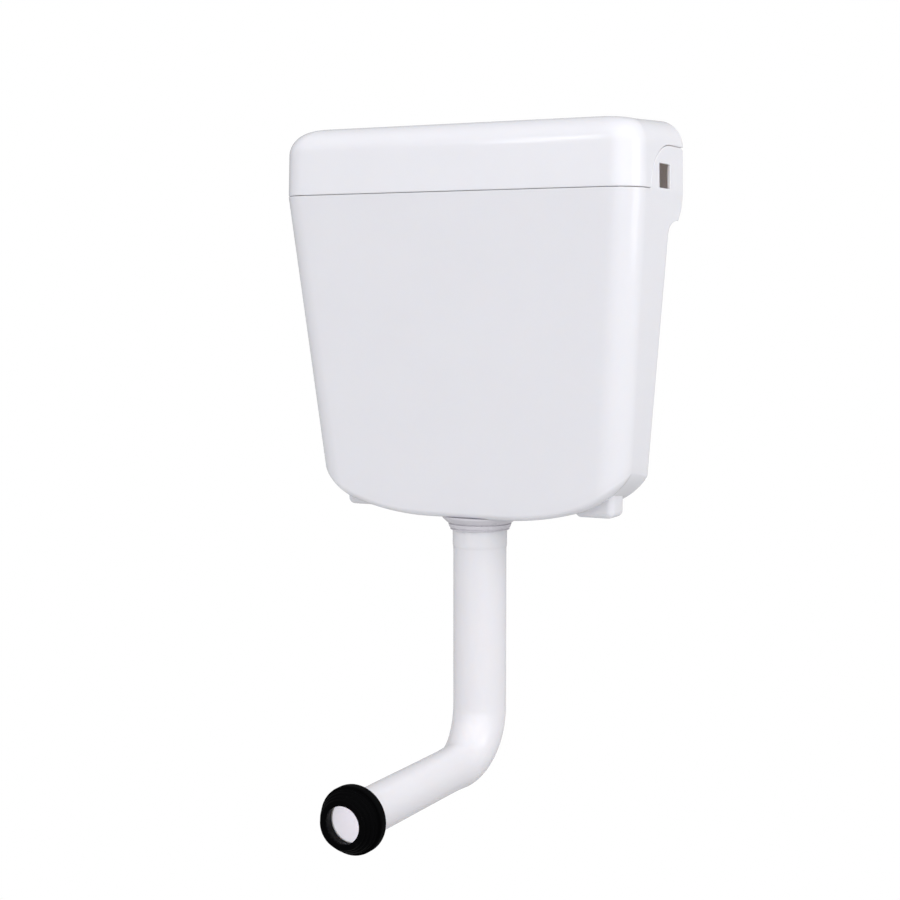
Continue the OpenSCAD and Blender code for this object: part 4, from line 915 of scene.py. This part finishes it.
def button_spring():
    """The return spring: a round wire carried along a helix.

    The height less a sine of the way makes the first and last turns lie flatter.
    """
    t = np.linspace(0, 1, 361)
    rise = t - SPRING_FLATTEN * np.sin(2 * math.pi * t)
    z = SPRING_LOW + WIRE_R + (SPRING_HIGH - SPRING_LOW - 2 * WIRE_R) * rise
    angle = 2 * math.pi * SPRING_TURNS * t
    centre = np.stack([COIL_R * np.cos(angle), COIL_R * np.sin(angle), z], -1)
    outward = np.stack([np.cos(angle), np.sin(angle), 0 * angle], -1)
    along = np.gradient(centre, axis=0)
    along /= np.linalg.norm(along, axis=1, keepdims=True)
    across = np.cross(along, outward)
    turn = np.linspace(0, 2 * math.pi, WIRE_STEPS, endpoint=False)[None, :, None]
    rows = centre[:, None] + WIRE_R * (np.cos(turn) * outward[:, None] + np.sin(turn) * across[:, None])
    caps = [np.repeat(rows[k].mean(0)[None, None], WIRE_STEPS, axis=1) for k in (0, -1)]
    rows = np.concatenate([caps[0], rows, caps[1]]) + BUTTON_AT
    return surface("button_spring_wire", rows)


def join_flats(work):
    """Makes one face of the triangles that lie in a plane."""
    bmesh.ops.dissolve_limit(work, angle_limit=FLAT, verts=work.verts, edges=work.edges)


def rounded_copy(node, edge):
    """A copy of a CAD node with its doubles merged and a narrow round on every sharp edge."""
    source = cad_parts[node].data
    corners = read(source.loops, "vertex_index", np.int64, 1)
    mesh = bpy.data.meshes.new(node + "_body")
    mesh.from_pydata(read(source.vertices, "co"), [], corners.reshape(-1, 3))
    piece = cleaned(node + "_body", mesh, MERGE / 2, join_flats)
    bevel = piece.modifiers.new("edge_round", "BEVEL")
    bevel.width = edge * MM
    bevel.segments = 2
    bevel.limit_method = "ANGLE"
    bevel.angle_limit = SHARP
    bevel.harden_normals = True
    return piece


# Finishes
def fill(tree, node, values):
    """Gives each named socket of a node its number or colour, or links it to another node's socket."""
    for name, value in values.items():
        socket = node.inputs[name.replace("_", " ")]
        if isinstance(value, bpy.types.NodeSocket):
            tree.links.new(value, socket)
        else:
            socket.default_value = value


def add(tree, kind, settings=None, **values):
    """A node with its settings, and the values or links of its named sockets."""
    made = tree.nodes.new(kind)
    for key, value in (settings or {}).items():
        setattr(made, key, value)
    fill(tree, made, values)
    return made


def join(tree, node, *sockets):
    """Links sockets to a node's inputs in order, for a node whose inputs share one name."""
    for target, socket in zip(node.inputs, sockets):
        tree.links.new(socket, target)
    return node.outputs[0]


def product(tree, first, second):
    """Two values multiplied."""
    return join(tree, add(tree, "ShaderNodeMath", {"operation": "MULTIPLY"}), first, second)


def raised(tree, value, mask, by):
    """A value raised by a share of a mask, and kept between 0 and 1."""
    made = add(tree, "ShaderNodeMath", {"operation": "MULTIPLY_ADD", "use_clamp": True})
    made.inputs[1].default_value = by
    tree.links.new(mask, made.inputs[0])
    tree.links.new(value, made.inputs[2])
    return made.outputs[0]


def ranged(tree, value, low, high, first=0.0, last=1.0):
    """A value's way from low to high as a way from first to last, and held there beyond both."""
    return add(tree, "ShaderNodeMapRange", Value=value, From_Min=low, From_Max=high,
               To_Min=first, To_Max=last).outputs[0]


def noise(tree, where, scale, detail, rough=0.5):
    """The value of a noise at a place."""
    return add(tree, "ShaderNodeTexNoise", Vector=where, Scale=scale, Detail=detail,
               Roughness=rough).outputs[0]


def on_object(tree):
    """A point's place on its piece."""
    return add(tree, "ShaderNodeTexCoord").outputs["Object"]


def tinted(tree, amount, first, second):
    """A colour that runs from one to another by an amount."""
    mix = add(tree, "ShaderNodeMix", {"data_type": "RGBA"})
    tree.links.new(amount, mix.inputs[0])
    for socket, colour in ((mix.inputs[6], first), (mix.inputs[7], second)):
        if isinstance(colour, tuple):
            socket.default_value = colour + (1.0,)
        else:
            tree.links.new(colour, socket)
    return mix.outputs[2]


def relief(tree, height, depth):
    """The normal of a surface whose height runs over a depth in millimetres."""
    return add(tree, "ShaderNodeBump", Height=height, Distance=depth * MM, Strength=1.0).outputs[0]


def effect(name, inputs, outputs):
    """An empty shader node group with named number inputs and outputs."""
    tree = bpy.data.node_groups.new(name, "ShaderNodeTree")
    for labels, way in ((inputs, "INPUT"), (outputs, "OUTPUT")):
        for label in labels:
            tree.interface.new_socket(label, in_out=way, socket_type="NodeSocketFloat")
    return tree, tree.nodes.new("NodeGroupInput").outputs, tree.nodes.new("NodeGroupOutput")


def placed(tree, group, **values):
    """The outputs of a shared effect in a material, with its own values."""
    made = add(tree, "ShaderNodeGroup", {"node_tree": group}, **values)
    return made.outputs


def moulded_surface():
    """Height and tone of a moulded face: slow ripple, fine texture and faint cloudy patches."""
    tree, given, result = effect("moulded_surface", ["Ripple", "Texture", "Balance"], ["Height", "Tone"])
    where = on_object(tree)
    ripple = noise(tree, where, given["Ripple"], 2.0, 0.4)
    texture = noise(tree, where, given["Texture"], 3.0, 0.6)
    mixed = add(tree, "ShaderNodeMix", {"data_type": "FLOAT"})
    for index, socket in ((0, given["Balance"]), (2, ripple), (3, texture)):
        tree.links.new(socket, mixed.inputs[index])
    fill(tree, result, {"Height": mixed.outputs[0], "Tone": noise(tree, where, 14.0, 3.0, 0.55)})
    return tree


def handling():
    """Masks of use: thin hairline scuffs in patches, and the rubbed crests of the edges."""
    tree, given, result = effect("handling", ["Scuffs", "Rub"], ["Scuff", "Worn"])
    where = on_object(tree)
    stretched = add(tree, "ShaderNodeMapping", Vector=where, Scale=(1.0, 1.0, 9.0), Rotation=(0.5, 0.3, 0.2))
    hair = ranged(tree, noise(tree, stretched.outputs[0], 210.0, 4.0, 0.7), 0.66, 0.72)
    patch = ranged(tree, noise(tree, where, 11.0, 2.0), 0.52, 0.68)
    crest = ranged(tree, add(tree, "ShaderNodeNewGeometry").outputs["Pointiness"], 0.53, 0.62)
    broken = product(tree, crest, noise(tree, where, 420.0, 3.0))
    fill(tree, result, {"Scuff": product(tree, product(tree, hair, patch), given["Scuffs"]),
                        "Worn": product(tree, broken, given["Rub"])})
    return tree


def settled_dust():
    """Mask of dust and lime: faces that look up, broken into specks."""
    tree, given, result = effect("settled_dust", ["Amount"], ["Dust"])
    normal = add(tree, "ShaderNodeNewGeometry").outputs["Normal"]
    up = ranged(tree, add(tree, "ShaderNodeSeparateXYZ", Vector=normal).outputs["Z"], 0.35, 1.0)
    speck = ranged(tree, noise(tree, on_object(tree), 320.0, 5.0, 0.75), 0.42, 0.7)
    fill(tree, result, {"Dust": product(tree, product(tree, up, speck), given["Amount"])})
    return tree


MOULDED = moulded_surface()
HANDLING = handling()
DUST = settled_dust()


def blank(name):
    """A new material, its nodes and its Principled shader."""
    material = bpy.data.materials.new(name)
    material.use_nodes = True
    return material, material.node_tree, material.node_tree.nodes["Principled BSDF"]


# The least and most of a plastic's roughness, by its tone, and how far scuffs and dust dull it
ROUGH_SPREAD = (0.85, 1.2)
SCUFF_DULLS = 0.18
DUST_DULLS = 0.45


def plastic(name, colour, shade, rough, depth, ripple=70.0, texture=1800.0, balance=0.3,
            scuffs=0.4, rub=0.4, worn=None, dust=0.15, dust_colour=(0.55, 0.54, 0.52),
            light_through=0.0, light_depth=2.5, mirror=0.5):
    """A moulded plastic or rubber: cloudy tone, rubbed edges, hairline scuffs, dust and relief."""
    material, tree, shader = blank(name)
    skin = placed(tree, MOULDED, Ripple=ripple, Texture=texture, Balance=balance)
    use = placed(tree, HANDLING, Scuffs=scuffs, Rub=rub)
    settled = placed(tree, DUST, Amount=dust)["Dust"]
    base = tinted(tree, skin["Tone"], colour, shade)
    base = tinted(tree, use["Worn"], base, worn or tuple(min(1.0, c * 1.1 + 0.02) for c in colour))
    base = tinted(tree, settled, base, dust_colour)
    gloss = ranged(tree, skin["Tone"], 0.3, 0.7, *(rough * share for share in ROUGH_SPREAD))
    scuffed = raised(tree, gloss, use["Scuff"], SCUFF_DULLS)
    fill(tree, shader, {
        "Base Color": base,
        "Roughness": raised(tree, scuffed, settled, DUST_DULLS),
        "Normal": relief(tree, skin["Height"], depth),
        "IOR": 1.52,
        "Specular IOR Level": mirror,
        "Subsurface Weight": light_through,
        "Subsurface Radius": (1.0, 0.85, 0.72),
        "Subsurface Scale": light_depth * MM,
    })
    return material


def painted_glow(name, like, colour, strength):
    """The inside of a wall lit by a painted glow: a finish with a faint even glow of its own."""
    material = like.copy()
    material.name = name
    # The emission is painted light: the inner faces glow though they are no lamp
    fill(material.node_tree, material.node_tree.nodes["Principled BSDF"],
         {"Emission Color": colour + (1.0,), "Emission Strength": strength})
    return material


def wire_steel():
    """Drawn steel: fine relief, a faint straw tint and dull patches."""
    material, tree, shader = blank("drawn_steel")
    skin = placed(tree, MOULDED, Ripple=240.0, Texture=4200.0, Balance=0.7)
    use = placed(tree, HANDLING, Scuffs=1.0, Rub=0.6)
    base = tinted(tree, skin["Tone"], (0.62, 0.61, 0.59), (0.46, 0.44, 0.41))
    fill(tree, shader, {
        "Base Color": tinted(tree, use["Worn"], base, (0.78, 0.77, 0.75)),
        "Roughness": ranged(tree, skin["Height"], 0.3, 0.7, 0.22, 0.42),
        "Normal": relief(tree, skin["Height"], 0.02),
        "Metallic": 1.0,
    })
    return material


# Each finish: its colour and shade, roughness and depth of relief, then what sets it apart
SHELL_WHITE = plastic("shell_white", (0.815, 0.813, 0.845), (0.79, 0.788, 0.823), 0.14, 0.05,
                      scuffs=0.2, rub=0.15, dust=0.04, light_through=0.35, light_depth=3.0)
# The pipe's white is its own colour, set a little darker than the shell's as painted shade from the tank
# above it
PIPE_SHADED_WHITE = plastic("pipe_white_painted_shade", (0.785, 0.78, 0.805), (0.76, 0.755, 0.785), 0.19, 0.05,
                     ripple=55.0, scuffs=0.08, rub=0.1, dust=0.03, light_through=0.5, light_depth=3.0)
# The pipe's bore glows: painted light that brightens the inside seen through the pipe's mouth
BORE_PAINTED_GLOW = painted_glow("pipe_bore_painted_glow", PIPE_SHADED_WHITE, (0.93, 0.9, 0.94), 0.25)
# The shells' inner faces glow a faint warm colour: painted light for the inside seen through the openings
# and the seam
INSIDE_PAINTED_GLOW = painted_glow("shell_inside_painted_glow", SHELL_WHITE, (1.0, 0.82, 0.68), 0.04)
# The nut's white is darker than the shell's: painted shade, as the nut sits in the tank's shadow
NUT_SHADED_WHITE = plastic("nut_white_painted_shade", (0.7, 0.68, 0.72), (0.66, 0.645, 0.69), 0.26, 0.05, dust=0.05)
BUTTON_WHITE = plastic("button_white", (0.84, 0.84, 0.865), (0.81, 0.81, 0.84), 0.12, 0.03,
                       scuffs=0.5, rub=0.2, dust=0.02)
FITTING_WHITE = plastic("fitting_white", (0.72, 0.72, 0.70), (0.66, 0.655, 0.63), 0.34, 0.06,
                        texture=1300.0, balance=0.5, dust=0.25, light_through=0.05)
FITTING_BLUE = plastic("fitting_blue", (0.16, 0.30, 0.50), (0.13, 0.25, 0.43), 0.32, 0.06,
                       texture=1300.0, balance=0.5, dust=0.25, dust_colour=(0.5, 0.53, 0.56))
SEAL_BLACK = plastic("seal_black", (0.022, 0.022, 0.024), (0.032, 0.031, 0.032), 0.55, 0.05,
                     texture=2400.0, balance=0.7, scuffs=0.8, rub=0.3, worn=(0.08, 0.08, 0.085),
                     dust=0.2, dust_colour=(0.2, 0.2, 0.2))
CONNECTOR_BLACK = plastic("connector_black", (0.001, 0.001, 0.0012), (0.0018, 0.0018, 0.002), 0.52, 0.06,
                          texture=1500.0, balance=0.7, scuffs=0.9, rub=0.3, worn=(0.012, 0.012, 0.013),
                          dust=0.01, dust_colour=(0.02, 0.02, 0.022), mirror=0.015)
STEEL = wire_steel()

# The shells and what the photograph shows under them
tank = place(tank_shell(), "cistern", "white_gloss", SHELL_WHITE, "tank")
# The tank's inner faces take the warm painted glow
line_inside(tank, core(*TANK_CORE), INSIDE_PAINTED_GLOW)
outer_skin = tank_skin(0.0)
for side in (1, -1):
    place(foot(side, outer_skin), "cistern", "white_gloss", SHELL_WHITE)
lid = place(lid_shell(), "lid", "white_gloss", SHELL_WHITE, "lid")
# The lid's inner faces take the warm painted glow
line_inside(lid, core(*LID_CORE), INSIDE_PAINTED_GLOW)
place(bezel(), "lid", "white_gloss", BUTTON_WHITE, "button_bezel")
place(button(), "button", "white_gloss", BUTTON_WHITE, "flush_button")
place(outlet_nut(), "cistern", "white_gloss", NUT_SHADED_WHITE, "outlet_nut")
pipe = place(flush_bend(), "cistern", "white_gloss", PIPE_SHADED_WHITE, "flush_pipe")
# The pipe's inner faces take the bore's painted glow
line_inside(pipe, bend_line, BORE_PAINTED_GLOW)
place(pan_connector(), "cistern", "connector_rubber", CONNECTOR_BLACK, "pan_connector")
place(rounded_copy("side_plug", PLUG_ROUND), "cistern", "white_gloss", SHELL_WHITE, "side_plug")
for bar in lid_lips():
    place(bar, "lid", "white_gloss", SHELL_WHITE)

# The works inside the tank, by body and slot
spring = place(button_spring(), "button", "steel", STEEL, "button_spring")
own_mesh(spring)
WORKS = {
    "lid": {"inner_plastic": ["bezel_nut"]},
    "button": {"inner_plastic": ["push_rod"]},
    "cistern": {
        "inner_plastic": ["valve_base", "valve_tower", "inlet_bracket", "fill_body", "inlet_locknut",
                          "riser_tube"],
        "inner_blue": ["fill_cap"],
        "seal_rubber": ["base_gasket", "tail_ring", "inlet_washer", "fill_diaphragm"],
        "steel": ["rocker_pin", "arm_pin"],
    },
    "rocker": {"inner_blue": ["rocker"]},
    "flush_tube": {"inner_blue": ["overflow_tube"], "inner_plastic": ["valve_float", "lift_link"],
                   "seal_rubber": ["seat_seal"]},
    "float": {"inner_blue": ["float_cup"], "steel": ["float_rod"]},
    "float_arm": {"inner_blue": ["float_arm"]},
}
WORKS_FINISHES = {
    "inner_plastic": (FITTING_WHITE, WORKS_ROUND),
    "inner_blue": (FITTING_BLUE, WORKS_ROUND),
    "seal_rubber": (SEAL_BLACK, FINE_ROUND),
    "steel": (STEEL, FINE_ROUND),
}
for body, slots in WORKS.items():
    for slot, nodes in slots.items():
        finish, edge = WORKS_FINISHES[slot]
        for node in nodes:
            place(rounded_copy(node, edge), body, slot, finish, node)


# Studio, in metres and watts
FLOOR_HALF = 30.0
FLOOR_Z = -0.85

# How the light from the surroundings changes along each axis: from where to where, and its strength
SKY = {"Y": (-0.9, 0.35, 1.12, 0.4), "Z": (-0.6, 0.9, 0.78, 1.14), "X": (-0.9, 0.9, 0.72, 1.85)}
SKY_COLOUR = (0.985, 0.985, 1.0, 1)

# Each lamp: its name, its place, the point it faces, its width and height, and its power
LAMPS = [
    ("lid_softbox", (-0.7, -1.82, 0.68), (0.1, -0.12, 0.02), 0.18, 0.7, 1.7),
    ("side_softbox", (0.95, -0.92, -0.16), (0.17, -0.11, -0.15), 0.4, 0.9, 0.25),
    ("front_fill", (0.45, -0.75, 0.0), (0.1, -0.12, -0.12), 0.4, 0.7, 0.34),
    ("side_fill", (0.82, -0.03, 0.02), (0.17, -0.06, -0.16), 0.4, 0.5, 1.15),
]

# The camera: its place, the point it faces, and its lens and sensor in millimetres
CAMERA_AT = (0.7331, -1.5453, -0.1169)
CAMERA_TO = (-0.02783, -0.0604, -0.26132)
LENS = 71.196
SENSOR = 36.0


def shown_white(tree, real, white, out):
    """The camera sees a plain white, and every other ray the real shader."""
    mix = add(tree, "ShaderNodeMixShader")
    seen = add(tree, "ShaderNodeLightPath").outputs["Is Camera Ray"]
    tree.links.new(join(tree, mix, seen, real.outputs[0], white.outputs[0]), out.inputs["Surface"])


def floor():
    """A pale floor well below the object, level and without an edge in view."""
    mesh = bpy.data.meshes.new("studio_floor")
    corners = [(x * FLOOR_HALF, y * FLOOR_HALF, FLOOR_Z) for x, y in ((-1, -1), (1, -1), (1, 1), (-1, 1))]
    mesh.from_pydata(corners, [], [(0, 1, 2, 3)])
    material, tree, shader = blank("studio_white")
    fill(tree, shader, {"Base Color": (0.6, 0.6, 0.6, 1), "Roughness": 0.9})
    shown_white(tree, shader, add(tree, "ShaderNodeEmission"), tree.nodes["Material Output"])
    mesh.materials.append(material)
    return linked("studio_floor", mesh)


def surroundings():
    """White behind the object, and for everything else a sky: the product of a range along each axis."""
    world = bpy.data.worlds.new("studio")
    bpy.context.scene.world = world
    world.use_nodes = True
    tree = world.node_tree
    tree.nodes.clear()
    where = add(tree, "ShaderNodeTexCoord").outputs["Generated"]
    split = add(tree, "ShaderNodeSeparateXYZ", Vector=where).outputs
    front, high, right = (ranged(tree, split[axis], *way) for axis, way in SKY.items())
    strength = product(tree, product(tree, front, high), right)
    soft = add(tree, "ShaderNodeBackground", Color=SKY_COLOUR, Strength=strength)
    plain = add(tree, "ShaderNodeBackground", Color=(1, 1, 1, 1))
    shown_white(tree, soft, plain, add(tree, "ShaderNodeOutputWorld"))


def aimed(name, data, place_at, facing):
    """A lamp or camera in the scene, at a place and facing a point."""
    piece = linked(name, data)
    piece.location = place_at
    piece.rotation_euler = (Vector(facing) - Vector(place_at)).to_track_quat("-Z", "Y").to_euler()
    return piece


def softbox(name, place_at, facing, width, height, power):
    """A rectangular lamp that faces a point."""
    lamp = bpy.data.lights.new(name, "AREA")
    lamp.shape = "RECTANGLE"
    lamp.size = width
    lamp.size_y = height
    lamp.energy = power
    aimed(name, lamp, place_at, facing).visible_camera = False


def photo_camera():
    """The photograph's view: 27.1 degrees to the right of the front and 4.9 degrees above."""
    camera = bpy.data.cameras.new("photo_camera")
    camera.lens = LENS
    camera.sensor_width = SENSOR
    camera.sensor_fit = "HORIZONTAL"
    bpy.context.scene.camera = aimed("photo_camera", camera, CAMERA_AT, CAMERA_TO)


floor()
surroundings()
for lamp in LAMPS:
    softbox(*lamp)
photo_camera()
bpy.context.scene.view_settings.view_transform = "Standard"
